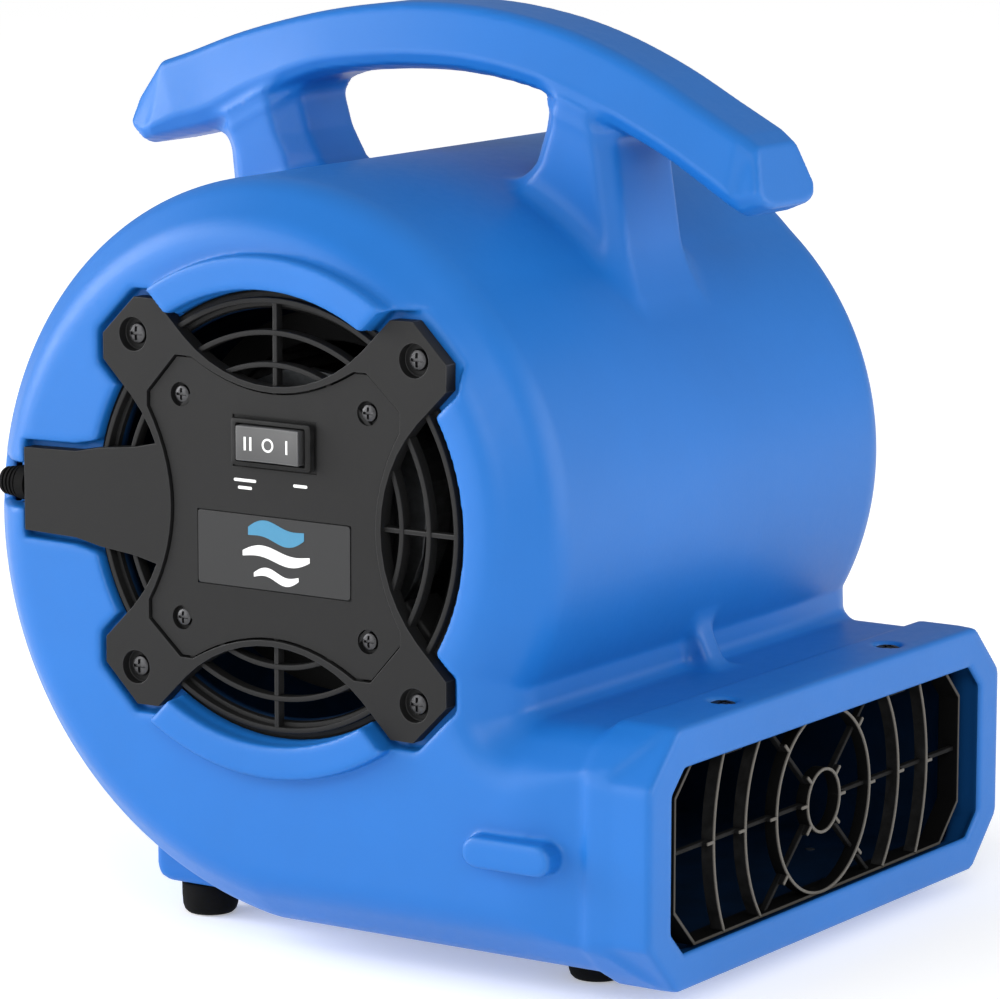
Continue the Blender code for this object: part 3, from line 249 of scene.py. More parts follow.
def moulded(
    name, colour, roughness, shine, wear=0.0, mottle=0.05, grain=1100.0, grain_depth=0.00004, wave=0.00006
):
    """Moulded plastic: slow mottling, a fine skin, scuffs and rubbed edges."""
    material, tree, shader, place = start_finish(name, shine)
    slow = noise(tree, place, 14.0, 4.0)
    fine = noise(tree, place, grain, 2.0)
    scuff = noise(tree, place, 240.0, 6.0, 0.7)
    share = ranged(tree, slow, 0.3, 0.7, 0.0, 1.0)
    base = blended(tree, share, shade_of(colour, 1.0 - mottle), shade_of(colour, 1.0 + mottle))
    point = tree.nodes.new("ShaderNodeNewGeometry").outputs["Pointiness"]
    rubbed = ranged(tree, point, 0.53, 0.62, 0.0, wear)
    edge = times(tree, rubbed, ranged(tree, scuff, 0.35, 0.65, 0.3, 1.0))
    paler = tuple(channel * 0.75 + 0.16 for channel in colour)
    rough = ranged(tree, scuff, 0.3, 0.75, roughness - 0.03, roughness + 0.04)
    layers = ((slow, 0.35, wave), (fine, 0.5, grain_depth))
    dress(tree, shader, blended(tree, edge, base, paler), rough, layers)
    return material


def metal(name, colour, roughness, streak):
    """Plated or machined metal with streaks and dull spots."""
    material, tree, shader, place = start_finish(name, 0.5)
    shader.inputs["Metallic"].default_value = 1.0
    stretch = tree.nodes.new("ShaderNodeMapping")
    stretch.inputs["Scale"].default_value = (0.08, 1.0, 1.0)
    tree.links.new(place, stretch.inputs["Vector"])
    lines = noise(tree, stretch.outputs["Vector"], streak * 4.0, 3.0)
    spots = noise(tree, place, streak, 5.0, 0.65)
    share = ranged(tree, spots, 0.3, 0.75, 0.0, 1.0)
    base = blended(tree, share, shade_of(colour, 0.72), shade_of(colour, 1.15))
    rough = ranged(tree, lines, 0.25, 0.8, roughness - 0.08, roughness + 0.12)
    dress(tree, shader, base, rough, ((lines, 0.3, 0.00003), (spots, 0.25, 0.00005)))
    return material


def rubber(name, colour):
    """Matt moulded rubber with a dusty bloom."""
    material, tree, shader, place = start_finish(name, 0.08)
    bloom = noise(tree, place, 120.0, 5.0, 0.7)
    pores = noise(tree, place, 1600.0, 2.0)
    base = blended(tree, ranged(tree, bloom, 0.4, 0.8, 0.0, 0.5), colour, shade_of(colour, 3.0))
    rough = ranged(tree, bloom, 0.3, 0.8, 0.72, 0.88)
    dress(tree, shader, base, rough, ((pores, 0.6, 0.00006), (bloom, 0.3, 0.0001)))
    return material


def printed(name, colour, roughness):
    """Printed ink or film with a faint unevenness."""
    material, tree, shader, place = start_finish(name, 0.3)
    patches = noise(tree, place, 500.0, 4.0)
    base = blended(tree, patches, shade_of(colour, 0.93), shade_of(colour, 1.04))
    rough = ranged(tree, patches, 0.3, 0.7, roughness - 0.04, roughness + 0.05)
    dress(tree, shader, base, rough, ((patches, 0.2, 0.00002),))
    return material


def behind(tree, place, start, end):
    """Share that grows from 0 to 1 between two distances from the fan axis, in metres."""
    split = tree.nodes.new("ShaderNodeSeparateXYZ")
    tree.links.new(place, split.inputs["Vector"])
    return ranged(tree, split.outputs["Y"], FAN_AXIS.y + start, FAN_AXIS.y + end, 0.0, 1.0)


def painted_inner_shade(name, deep_shade, mouth_shade):
    """Painted shade for the inside of the body: near black deep in, and a darkened housing blue just
    behind the mouth.
    """
    material, tree, shader, place = start_finish(name, 0.05)
    dust = noise(tree, place, 60.0, 5.0)
    base = blended(tree, behind(tree, place, -0.122, -0.106), mouth_shade, deep_shade)
    dusty = ranged(tree, dust, 0.4, 0.8, 0.0, 0.25)
    base = blended(tree, dusty, base, shade_of(mouth_shade, 0.8))
    dress(tree, shader, base, 0.7, ((dust, 0.4, 0.0003),))
    return material


def front_highlit_bar(name, side, edge):
    """Grille bar: black sides and a painted highlight along the front edge."""
    material = moulded(name, side, 0.55, 0.06, 0.10, grain=1500.0, grain_depth=0.00003)
    tree = material.node_tree
    colour = tree.nodes["Principled BSDF"].inputs["Base Color"]
    place = tree.nodes.new("ShaderNodeTexCoord").outputs["Object"]
    # the front faces of each bar take the paler colour: a painted highlight where the edges catch the
    # light
    share = behind(tree, place, -0.1242, -0.1245)
    tree.links.new(blended(tree, share, colour.links[0].from_socket, edge), colour)
    return material


FINISHES = {}
# bevel faces of black and rocker pieces get a paler finish: a painted highlight on their edges
EDGE_HIGHLIGHTS = {"black": "black_edge", "rocker": "rocker_edge"}


def make_finishes():
    """Every finish of the machine, by its short name."""
    tint = colours()
    fine = {"grain": 1800.0, "grain_depth": 0.00002}
    coarse = {"grain": 1500.0, "grain_depth": 0.00005}
    black, rocker, steel = tint.black, tint.rocker, tint.steel
    return {
        "housing": moulded("housing_blue", tint.housing, 0.42, 0.30, 0.20, wave=0.0006),
        "black": moulded("black_plastic", black, 0.50, 0.17, 0.0, 0.06, **coarse),
        # black made 1.9 times paler for bevel faces: painted edge highlight
        "black_edge": moulded("highlit_black_edge", shade_of(black, 1.9), 0.42, 0.22),
        # the wheel's black is darkened to 0.6: painted shade behind the guard
        "wheel": moulded("wheel_plastic", shade_of(black, 0.6), 0.60, 0.1, 0.30, grain=900.0),
        # bezel black darkened to 0.35: partly its own near-black, partly painted shade round the switch
        "bezel": moulded("bezel_plastic", shade_of(black, 0.35), 0.42, 0.16, 0.2, **fine),
        "rocker": moulded("rocker_plastic", rocker, 0.34, 0.5, **fine),
        # rocker colour made paler for bevel faces: painted edge highlight
        "rocker_edge": moulded("highlit_rocker_edge", shade_of(rocker, 1.3), 0.30, 0.6),
        # black darkened to 0.3 for the bar sides and spokes is painted shade; the grille colour is the
        # painted front-edge highlight
        "grille": front_highlit_bar("grille_plastic", shade_of(black, 0.3), tint.grille),
        # housing blue darkened to 0.30: painted shade just behind the mouth
        "inside": painted_inner_shade("painted_inner_shade", tint.inside, shade_of(tint.housing, 0.30)),
        "rubber": rubber("black_rubber", tint.rubber),
        "label": printed("label_film", tint.label, 0.40),
        "mark": printed("mark_white", tint.mark, 0.50),
        "emblem": printed("emblem_blue", tint.emblem, 0.42),
        "steel": metal("dark_plated_steel", steel, 0.38, 900.0),
        # screw steel darkened to 0.3 for the collar screws: painted shade of their wells
        "dark_steel": metal("steel_in_painted_shade", shade_of(steel, 0.3), 0.5, 900.0),
        "zinc": metal("zinc_steel", (0.46, 0.46, 0.47), 0.36, 900.0),
        # motor steel and cast aluminium are kept far darker than bare metal: painted shade behind the
        # guard
        "motor": metal("motor_steel", (0.10, 0.105, 0.11), 0.50, 300.0),
        "cast": metal("cast_aluminium", (0.22, 0.225, 0.23), 0.55, 250.0),
    }


def finish(name):
    """The named finish; all are made the first time one is asked for."""
    if not FINISHES:
        FINISHES.update(make_finishes())
    return FINISHES[name]


# --- mesh making
def mesh_of(name, work):
    """Write a bmesh to a new mesh with outward normals."""
    bmesh.ops.recalc_face_normals(work, faces=work.faces)
    mesh = bpy.data.meshes.new(name)
    work.to_mesh(mesh)
    work.free()
    return mesh


def joined(name, meshes):
    """Several closed bodies as one mesh; a single mesh stays as it is."""
    if not isinstance(meshes, list):
        meshes.name = name
        return meshes
    work = bmesh.new()
    for mesh in meshes:
        work.from_mesh(mesh)
    made = bpy.data.meshes.new(name)
    work.to_mesh(made)
    work.free()
    return made


def evaluated(name, data, matrix=FLAT, modify=None, weld=1e-4):
    """What a curve, or a mesh with modifiers, evaluates to."""
    holder = bpy.data.objects.new(name, data)
    bpy.context.scene.collection.objects.link(holder)
    if modify is not None:
        modify(holder)
    graph = bpy.context.evaluated_depsgraph_get()
    mesh = bpy.data.meshes.new_from_object(holder.evaluated_get(graph))
    bpy.data.objects.remove(holder, do_unlink=True)
    work = bmesh.new()
    work.from_mesh(mesh)
    bmesh.ops.remove_doubles(work, verts=work.verts, dist=weld)
    bmesh.ops.transform(work, matrix=matrix, verts=work.verts)
    bpy.data.meshes.remove(mesh)
    return mesh_of(name, work)


def slab(outlines, low, high, plane=SIDE):
    """Extrude outlines (first outer, rest holes) between two levels."""
    curve = bpy.data.curves.new("slab", "CURVE")
    curve.dimensions = "2D"
    curve.fill_mode = "BOTH"
    curve.extrude = abs(high - low) / 2.0
    for outline in outlines:
        spline = curve.splines.new("POLY")
        spline.points.add(len(outline) - 1)
        for point, (u, v) in zip(spline.points, outline):
            point.co = (u, v, 0.0, 1.0)
        spline.use_cyclic_u = True
    return evaluated("slab", curve, plane @ Matrix.Translation((0.0, 0.0, (high + low) / 2.0)))


def turned(profile, plane=SIDE, centre=(0.0, 0.0), steps=96):
    """Spin a (radius, level) profile; one that starts on the axis makes a solid."""
    count = len(profile)
    edges = [(index, index + 1) for index in range(count - 1)]
    if profile[0][0] > 0.0:
        edges.append((count - 1, 0))
    outline = bpy.data.meshes.new("profile")
    outline.from_pydata([(radius, 0.0, level) for radius, level in profile], edges, [])

    def spin(holder):
        screw = holder.modifiers.new("screw", "SCREW")
        screw.steps = screw.render_steps = steps
        screw.use_merge_vertices = True
        screw.merge_threshold = 1e-5

    return evaluated("turned", outline, plane @ Matrix.Translation((centre[0], centre[1], 0.0)), spin)


def rounded_profile(corners, radius, steps=3):
    """Round every corner of a closed (radius, level) profile."""
    made = []
    for index, corner in enumerate(corners):
        here = Vector(corner)
        before = (Vector(corners[index - 1]) - here).normalized()
        after = (Vector(corners[(index + 1) % len(corners)]) - here).normalized()
        start, end = here + before * radius, here + after * radius
        for step in range(steps + 1):
            share = step / steps
            first = start.lerp(here, share)
            second = here.lerp(end, share)
            made.append(tuple(first.lerp(second, share)))
    return made


def block(centre, size):
    """A box."""
    work = bmesh.new()
    bmesh.ops.create_cube(work, size=1.0)
    bmesh.ops.scale(work, vec=Vector(size), verts=work.verts)
    bmesh.ops.translate(work, vec=Vector(centre), verts=work.verts)
    return mesh_of("block", work)


def pin(radius, low, high, plane=SIDE, centre=(0.0, 0.0), steps=48):
    """A round disc or pin."""
    return turned(((0.0, low), (radius, low), (radius, high), (0.0, high)), plane, centre, steps)


def bevelled(holder, width, segments, angle):
    """Add a bevel to a holder's edges that are sharper than an angle in degrees."""
    bevel = holder.modifiers.new("soft_edges", "BEVEL")
    bevel.width, bevel.segments = width, segments
    bevel.limit_method = "ANGLE"
    bevel.angle_limit = math.radians(angle)
    return bevel


def carved(base, added=(), cut=(), edge=0.4, segments=3, angle=32.0):
    """Join and cut solids, then round the sharp edges that are left."""

    def shape(holder):
        for operation, tools in (("UNION", added), ("DIFFERENCE", cut)):
            for tool in tools:
                boolean = holder.modifiers.new(operation, "BOOLEAN")
                boolean.operation = operation
                boolean.solver = "EXACT"
                boolean.object = bpy.data.objects.new("tool", tool)

    def soften(holder):
        # bevel faces take the piece's second finish, which is the painted edge highlight where there is
        # one
        bevelled(holder, edge, segments, angle).material = 1

    whole = evaluated("carved", base, modify=shape) if added or cut else base
    for other in [each for each in bpy.data.objects if each.name.startswith("tool")]:
        bpy.data.objects.remove(other, do_unlink=True)
    work = bmesh.new()
    work.from_mesh(whole)
    bmesh.ops.dissolve_limit(work, angle_limit=math.radians(1.0), verts=work.verts, edges=work.edges)
    flat = mesh_of("carved", work)
    if not edge:
        return flat
    flat.materials.append(None)
    flat.materials.append(None)
    return evaluated("carved", flat, modify=soften, weld=1e-5)


def skinned(rows, ends=True):
    """Skin rows of points into a closed body, with ends or as a loop."""
    work = bmesh.new()
    rows = [[work.verts.new(spot) for spot in row] for row in rows]
    count = len(rows[0])
    for here, there in zip(rows, rows[1:] if ends else rows[1:] + rows[:1]):
        for step in range(count):
            after = (step + 1) % count
            work.faces.new((here[step], here[after], there[after], there[step]))
    if ends:
        work.faces.new(rows[0])
        work.faces.new(rows[-1])
    return mesh_of("skinned", work)


def add_piece(name, meshes, look, replaced=(), angle=12.0, body=MACHINE):
    """Scale meshes to metres, join them as one piece and let it ride on its body."""
    mesh = joined(name, meshes)
    mesh.transform(TO_FRAME)
    # the second finish, if any, is the painted edge highlight for bevel faces
    for each in (look, EDGE_HIGHLIGHTS.get(look)):
        if each:
            mesh.materials.append(finish(each))
    mesh.shade_smooth()
    mesh.set_sharp_from_angle(angle=math.radians(angle))
    piece = bpy.data.objects.new(name, mesh)
    bpy.context.scene.collection.objects.link(piece)
    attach(piece, body)
    if replaced:
        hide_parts(*replaced)


# --- outlines
def around(centre, radius, angle):
    """Point at a radius and angle round a centre."""
    return (centre[0] + radius * math.cos(angle), centre[1] + radius * math.sin(angle))


def rectangle(centre, length, height, corner=0.0):
    """Points of an upright rectangle with round corners."""
    points = []
    for quadrant, (su, sv) in enumerate(((1, 1), (-1, 1), (-1, -1), (1, -1))):
        middle = (centre[0] + su * (length / 2 - corner), centre[1] + sv * (height / 2 - corner))
        for step in range(5 if corner else 1):
            points.append(around(middle, corner, math.radians(90.0 * quadrant + 22.5 * step)))
    return points


def on_diagonal(along, across, quadrant):
    """Point along one of the four diagonals and across it."""
    angle = math.radians(45.0 + 90.0 * quadrant)
    direction = Vector((math.cos(angle), math.sin(angle)))
    return tuple(direction * along + Vector((-direction.y, direction.x)) * across)


def guard_outline(arc_steps=12):
    """Four-armed guard with hollow sides."""
    corner = on_diagonal(60.0, 13.6, 0)
    rise = abs(corner[1]) - GUARD_WAIST
    reach = (abs(corner[0]) ** 2 + rise**2) / (2.0 * rise)
    swing = math.degrees(math.asin(abs(corner[0]) / reach)) - 2.0
    points = []
    for quadrant in range(4):
        half = [(60.0, -13.6), (72.8, -13.6), (78.3, -8.2)]
        for along, across in half + [(along, -across) for along, across in reversed(half)]:
            points.append(on_diagonal(along, across, quadrant))
        middle = math.radians(90.0 + 90.0 * quadrant)
        centre = around((0.0, 0.0), GUARD_WAIST + reach, middle)
        for step in range(arc_steps + 1):
            turn = math.radians(swing * (1.0 - 2.0 * step / arc_steps))
            points.append(around(centre, reach, middle + math.pi + turn))
    return points


def centre_plate_outline(grow=0.0):
    """Centre plate with cut corners and gently hollow sides."""
    points = []
    rise = 44.5 + grow
    for quadrant in range(4):
        turn = Matrix.Rotation(math.radians(90.0 * quadrant), 2)
        spots = [(rise, 29.0), (rise, 33.3 + grow * 0.4), (34.5 + grow * 0.4, rise), (29.0, rise)]
        for step in range(1, 14):
            across = 29.0 * (1.0 - 2.0 * step / 14.0)
            spots.append((across, rise - 8.5 * (1.0 - (across / 29.0) ** 2)))
        points += [tuple(turn @ Vector(spot)) for spot in spots]
    return points


def cord_arm_outline():
    """Cover of the wiring channel that runs to the rear rim."""
    stops = ((38.0, 19.0), (50.0, 16.3), (63.0, 14.9), (72.0, 13.1), (91.5, 12.6))
    return [(y, half) for y, half in stops] + [(y, -half) for y, half in reversed(stops)]


# --- housing, as one skin
def soft_union(first, second, reach):
    """Join two distance fields with a fillet of the given reach."""
    share = np.clip(0.5 + 0.5 * (second - first) / reach, 0.0, 1.0)
    return second + (first - second) * share - reach * share * (1.0 - share)


def soft_common(first, second, reach):
    """What two fields share, with the edge rounded."""
    return -soft_union(-first, -second, reach)


def soft_cut(first, second, reach):
    """The first field without the second, with the edge rounded."""
    return -soft_union(-first, second, reach)


def line_distance(points, y, z):
    """Distance in mm to an open line of points."""
    nearest = 1e9
    for (ay, az), (by, bz) in zip(points, points[1:]):
        ey, ez = by - ay, bz - az
        share = np.clip(((y - ay) * ey + (z - az) * ez) / (ey * ey + ez * ez), 0.0, 1.0)
        nearest = np.minimum(nearest, (y - ay - share * ey) ** 2 + (z - az - share * ez) ** 2)
    return np.sqrt(nearest)


def outline_distance(points, y, z):
    """Distance in mm to a closed outline, negative inside it."""
    loop = points + points[:1]
    inside = False
    for (ay, az), (by, bz) in zip(loop, loop[1:]):
        if az != bz:
            crossed = y < ay + (z - az) * (by - ay) / (bz - az)
            inside = inside ^ (((az > z) != (bz > z)) & crossed)
    return np.where(inside, -1.0, 1.0) * line_distance(loop, y, z)


def octagon_distance(across, height, half_length, half_height, corner):
    """Field of a rectangle with its corners cut off."""
    cut = (across + height - (half_length + half_height - corner)) * HALF_ROOT
    return np.maximum(np.maximum(across - half_length, height - half_height), cut)


def drum_outline():
    """Side view of the growing drum and the duct under it."""
    fillet, growth = 6.0, 0.1615  # the drum's radius grows by this much per degree
    centre_z = DUCT_TOP + fillet
    centre_y = -math.sqrt((DRUM_RADIUS + fillet) ** 2 - centre_z**2)
    start = math.degrees(math.atan2(centre_z, -centre_y))
    points = []
    for step in range(12):
        angle = math.radians(-90.0 + (90.0 + start) * step / 12.0)
        points.append(around((centre_y, centre_z), fillet, angle))
    degrees = start
    while degrees < 266.0:
        radius = DRUM_RADIUS + max(0.0, degrees - 50.0) * growth
        angle = math.radians(degrees)
        points.append((-radius * math.cos(angle), radius * math.sin(angle)))
        degrees += 2.0
    return points + [(8.0, BASE), (-122.0, BASE), (-122.0, DUCT_TOP)]


BAR_TOP = (
    (120.8, 108.9), (111.0, 121.0), (100.7, 124.3), (84.0, 130.3), (68.5, 134.8), (49.6, 139.2),
    (31.0, 142.1), (12.5, 143.6), (-8.0, 143.1), (-30.0, 139.8), (-49.5, 134.3), (-69.0, 126.2),
    (-86.0, 117.2), (-101.0, 109.3), (-106.0, 105.8),
)
BAR_LOW = (
    (120.3, 98.9), (115.0, 94.8), (103.0, 97.4), (86.0, 101.5), (70.0, 110.0), (49.0, 118.8),
    (31.0, 121.8), (12.0, 123.2), (-8.0, 122.8), (-28.0, 119.6), (-46.0, 114.0), (-63.0, 107.0),
    (-80.0, 99.0), (-103.0, 85.2), (-111.2, 88.4),
)
# a leg's height, front and rear at a few stops
FRONT_LEG = (
    (60.0, -66.5, -20.0), (93.0, -61.2, -28.0), (98.0, -60.5, -31.8), (108.0, -58.8, -35.0),
    (122.0, -55.5, -37.5),
)
REAR_LEG = (
    (60.0, 44.0, 80.0), (95.0, 50.0, 83.8), (102.0, 54.0, 86.5), (112.0, 57.0, 90.5),
    (126.0, 60.0, 93.0),
)


def smooth_line(points, ends, steps=4):
    """Round a line into a curve, apart from a few straight stops at each end."""
    spots = [Vector(point) for point in points]
    made = [tuple(spot) for spot in spots[:ends]]
    for index in range(ends, len(spots) - ends - 1):
        before, here, there, after = spots[index - 1 : index + 3]
        for step in range(steps):
            share = step / steps
            bend = 2.0 * here + (there - before) * share
            bend += (2.0 * before - 5.0 * here + 4.0 * there - after) * share**2
            bend += (3.0 * here - before - 3.0 * there + after) * share**3
            made.append(tuple(bend * 0.5))
    return made + [tuple(spot) for spot in spots[-ends - 1 :]]


def handle_bar_field(ax, y, z):
    """Carrying bar: widest low down, leaning in to a flat top."""
    top, low = smooth_line(BAR_TOP, 2), smooth_line(BAR_LOW, 2)
    side = outline_distance(top + low[::-1], y, z)
    below = line_distance(low, y, z)
    above = line_distance(top, y, z)
    share = below / np.maximum(below + above, 1e-6)
    width = np.interp(share, (0.0, 0.10, 0.28, 0.93, 1.0), (13.0, 17.5, 19.3, 13.8, 12.4))
    ends = np.interp(y, (-111.0, -100.0, 110.0, 120.8), (0.86, 1.01, 1.01, 0.84)) + 0.0 * z
    flank = (ax - (width * ends)[None]) * 0.96
    return soft_common(flank, side[None], 2.6)


def leg_field(ax, y, z, stops, narrow, corner):
    """Handle leg with a flat front and rear and cut corners."""
    heights, fronts, rears = zip(*stops)
    ahead = np.interp(z, heights, fronts) - y
    after = y - np.interp(z, heights, rears)
    bar_above = np.interp(y, *zip(*BAR_LOW[::-1]))
    length = np.maximum(heights[0] - z, z - bar_above - 2.5)
    thickness = np.maximum(np.maximum(ahead, after), length)[None]
    made = soft_common(ax - (narrow + corner), thickness, 1.4)
    for side in (ahead, after):
        made = soft_common(made, (ax - narrow + side[None]) * HALF_ROOT, 1.4)
    return made


def solid_field(ax, y, z):
    """Distance field of the moulding before it is hollowed, and of its chamfer and outline."""
    size = sizes()
    rim = size.rim_softness * 1000.0
    outline = outline_distance(drum_outline(), y, z)[None]
    inward, up = 14.6, 14.0  # chamfer between the side face and the drum
    chamfer = ((ax - (FACE - inward)) * up + outline * inward) / math.hypot(inward, up)
    body = soft_common(soft_common(chamfer, ax - FACE, rim), outline, rim)
    taper = ((ax - FACE) * 21.5 - (y[None] + 86.0) * 4.0) / math.hypot(21.5, 4.0)
    body = soft_common(body, taper, 1.2)

    legs = leg_field(ax, y, z, FRONT_LEG, 15.2, 5.2)
    legs = np.minimum(legs, leg_field(ax, y, z, REAR_LEG, 12.0, 8.0))
    body = soft_union(body, legs, size.leg_fillet * 1000.0)
    body = soft_union(body, handle_bar_field(ax, y, z), 5.5)

    rear_block = [
        (-12.0, -124.9), (64.7, -124.9), (68.3, -123.5), (69.7, -120.0), (69.7, -90.0), (-12.0, -113.0)
    ]
    rear_rib = [(-70.0, -37.0), (-81.2, -37.8), (-90.0, -56.0), (-70.0, -60.0)]
    for points, half_width, rounding, fillet in ((rear_block, 74.0, 4.0, 3.0), (rear_rib, 4.8, 3.0, 4.5)):
        side = outline_distance(points, y, z)[None]
        body = soft_union(body, soft_common(side, ax - half_width, rounding), fillet)

    height = np.abs(z[None] - COLLAR_Z)
    collar = np.maximum(ax - COLLAR_X, height - COLLAR_HEIGHT)
    reach = COLLAR_X + COLLAR_HEIGHT - COLLAR_CORNER
    collar = soft_common(collar, (ax + height - reach) * HALF_ROOT, 1.4)
    collar = soft_common(collar, np.abs(y[None] - COLLAR_Y) - COLLAR_HALF_DEPTH, 1.6)
    body = soft_union(body, collar, 4.0)

    radius = np.hypot(y, z)[None]
    off_arms = 14.5 - ((np.abs(z) - np.abs(y)) * HALF_ROOT)[None]
    pads = np.maximum(np.maximum(radius - PAD_OUTER, PAD_INNER - radius), off_arms)
    along = np.maximum(np.abs(y - LUG_Y) - LUG_HALF_LENGTH, 0.0)
    lug = np.hypot(along, z - DUCT_Z)[None] - LUG_RADIUS
    raised = soft_common(np.minimum(pads, lug), ax - (FACE + PAD_RISE), 1.8)
    return soft_union(body, np.maximum(raised, 95.0 - ax), 0.9), chamfer, outline


def housing_field(ax, x, y, z):
    """Distance field of the whole moulding, and of its hollow."""
    wall = sizes().wall * 1000.0
    body, chamfer, outline = solid_field(ax, y, z)
    hollow = soft_common(outline + wall, ax - HOLLOW_X, 4.0)
    hollow = soft_common(hollow, chamfer + wall + 0.8, 4.0)
    channel = octagon_distance(ax, np.abs(z - DUCT_Z)[None], MOUTH_X, 30.0, MOUTH_CORNER)
    channel = np.maximum(channel, np.maximum(-125.6 - y, y + 100.0)[None])
    hollow = soft_union(hollow, channel, 1.0)
    body = soft_cut(body, hollow, 0.8)
    cord_height = np.abs(z - CORD_Z)[None]
    across = np.maximum(np.abs(x + 95.0) - 5.0, (np.abs(y - 80.0) - 22.0)[None])
    body = np.minimum(body, np.maximum(across, cord_height - 11.0))

    radius = np.hypot(y, z)[None]
    mouth = octagon_distance(ax, np.abs(z - MOUTH_Z)[None], MOUTH_X, MOUTH_HEIGHT, MOUTH_CORNER)
    guard = outline_distance(guard_outline(), y, z)[None] - 2.4
    pocket = np.minimum(guard, radius - POCKET_RADIUS)
    arm = outline_distance(cord_arm_outline(), y, z)[None] - 2.2
    arm = np.maximum(arm, (y - 92.2)[None])
    slot = np.maximum(np.maximum(cord_height - SLOT_HALF_HEIGHT, (58.0 - y)[None]), x + 96.0)
    cuts = [
        (np.maximum(mouth, y[None] + 123.4), 1.2),
        (np.maximum(pocket, (FACE - POCKET_DEPTH) - ax), 1.6),
        (np.maximum(radius - INTAKE_RADIUS, 90.0 - ax), 1.2),
        (np.maximum(arm, x + (FACE - POCKET_DEPTH)), 1.2),
        (slot, 1.2),
    ]
    for spot_x, spot_y in COLLAR_SCREWS.values():
        well = np.hypot(x - spot_x, (y - spot_y)[None]) - SCREW_WELL_RADIUS
        cuts.append((np.maximum(well, (-53.1 - z)[None]), 0.9))
    for cut, rounding in cuts:
        body = soft_cut(body, cut, rounding)
    return body, hollow


def skin_of(field, low, pitch):
    """Wrap a distance field's zero surface in quads, one point per crossed cell."""
    cells = tuple(count - 1 for count in field.shape)
    total = math.prod(cells)
    weight, place = np.zeros(total), np.zeros((3, total))
    quads = []
    for axis in range(3):
        steps = np.eye(3, dtype=int)
        first, second = np.delete(steps, axis, 0)
        spots = np.argwhere(np.diff(field < 0.0, axis=axis))
        near, far = field[tuple(spots.T)], field[tuple((spots + steps[axis]).T)]
        cross = spots + steps[axis] * (near / (near - far))[:, None]
        corners = []
        for back, down in ((1, 1), (0, 1), (0, 0), (1, 0)):
            cell = spots - back * first - down * second
            corners.append(np.ravel_multi_index(tuple(cell.T), cells))
            weight += np.bincount(corners[-1], minlength=total)
            for index in range(3):
                place[index] += np.bincount(corners[-1], cross[:, index], minlength=total)
        ring = np.stack(corners, axis=1)
        outward = (near < 0.0) != (axis == 1)
        ring[~outward] = ring[~outward][:, ::-1]
        quads.append(ring)
    used = np.flatnonzero(weight)
    number = np.full(total, -1)
    number[used] = np.arange(len(used))
    points = (place[:, used] / weight[used]).T
    return settle(points, field) * pitch + low, number[np.concatenate(quads)]


def sampled(field, points):
    """Values of a field at points given in cells."""
    base = np.clip(points.astype(int), 0, np.array(field.shape) - 2)
    part = points - base
    value = np.zeros(len(points))
    for corner in np.ndindex(2, 2, 2):
        share = np.prod(np.where(corner, part, 1.0 - part), axis=1)
        value += share * field[tuple((base + corner).T)]
    return value


def settle(points, field, rounds=2):
    """Pull skin points onto the field's zero surface."""
    for _ in range(rounds):
        value = sampled(field, points)
        slope = np.stack(
            [(sampled(field, points + step) - sampled(field, points - step)) for step in np.eye(3) * 0.5],
            axis=1,
        )
        length = np.maximum(np.sum(slope**2, axis=1), 1e-6)
        move = slope * (value / length)[:, None]
        points = points - np.clip(move, -0.6, 0.6)
    return points


def build_housing():
    """Rotomoulded body with its handle as one soft-edged skin."""
    pitch = sizes().skin_pitch * 1000.0
    spans = ((-118.0, 118.0), (-133.0, 124.0), (-133.0, 149.0))
    lines = [np.arange(low, high + pitch, pitch) for low, high in spans]
    x = lines[0][:, None, None]
    y, z = lines[1][:, None], lines[2][None, :]
    field, hollow = housing_field(np.abs(x), x, y, z)
    low = np.array([line[0] for line in lines])
    points, quads = skin_of(field, low, pitch)
    inner = sampled(np.broadcast_to(hollow, field.shape), (points - low) / pitch)
    mesh = bpy.data.meshes.new("housing_shell")
    mesh.vertices.add(len(points))
    mesh.vertices.foreach_set("co", points.astype(np.float32).ravel())
    mesh.loops.add(quads.size)
    mesh.loops.foreach_set("vertex_index", quads.astype(np.int32).ravel())
    mesh.polygons.add(len(quads))
    mesh.polygons.foreach_set("loop_start", np.arange(0, quads.size, 4, dtype=np.int32))
    # faces of the hollow, the mouth and the intake wall get the inside finish: painted shade
    across, height = np.abs(points[:, 0]), np.abs(points[:, 2] - MOUTH_Z)
    in_mouth = (across < 93.0) & (height < 27.8) & (across + height < 112.9)
    in_mouth &= (points[:, 1] > -127.2) & (points[:, 1] < -110.0)
    in_intake = (np.hypot(points[:, 1], points[:, 2]) < 63.0) & (across < FACE - 4.9)
    in_painted_shade = ((np.abs(inner) < 0.9) | in_mouth | in_intake)[quads].all(axis=1)
    mesh.materials.append(finish("housing"))
    mesh.materials.append(finish("inside"))
    mesh.polygons.foreach_set("material_index", in_painted_shade.astype(np.int32))
    mesh.update(calc_edges=True)
    mesh.validate()
    add_piece("housing_shell", mesh, None, ("housing",), 180.0)


# --- guards
def ring_of(inner, outer, levels, rounding, plane=SIDE, centre=(0.0, 0.0), steps=96):
    """A turned ring with rounded edges."""
    low, high = sorted(levels)
    corners = ((inner, low), (outer, low), (outer, high), (inner, high))
    return turned(rounded_profile(corners, rounding), plane, centre, steps)


def ring_bar(radius, width, levels, plane=SIDE, centre=(0.0, 0.0)):
    """A thin ring, known by the radius of its middle."""
    half = width / 2.0
    return ring_of(radius - half, radius + half, levels, half * 0.45, plane, centre, 144)


def seated(side, outer, inner):
    """Levels of a part between two depths under a side face, lowest first."""
    return sorted((side * (FACE - outer), side * (FACE - inner)))


def corner_spots(offset):
    """The four spots on the diagonals round the fan axis."""
    return [(sy * offset, sz * offset) for sy, sz in CORNERS.values()]


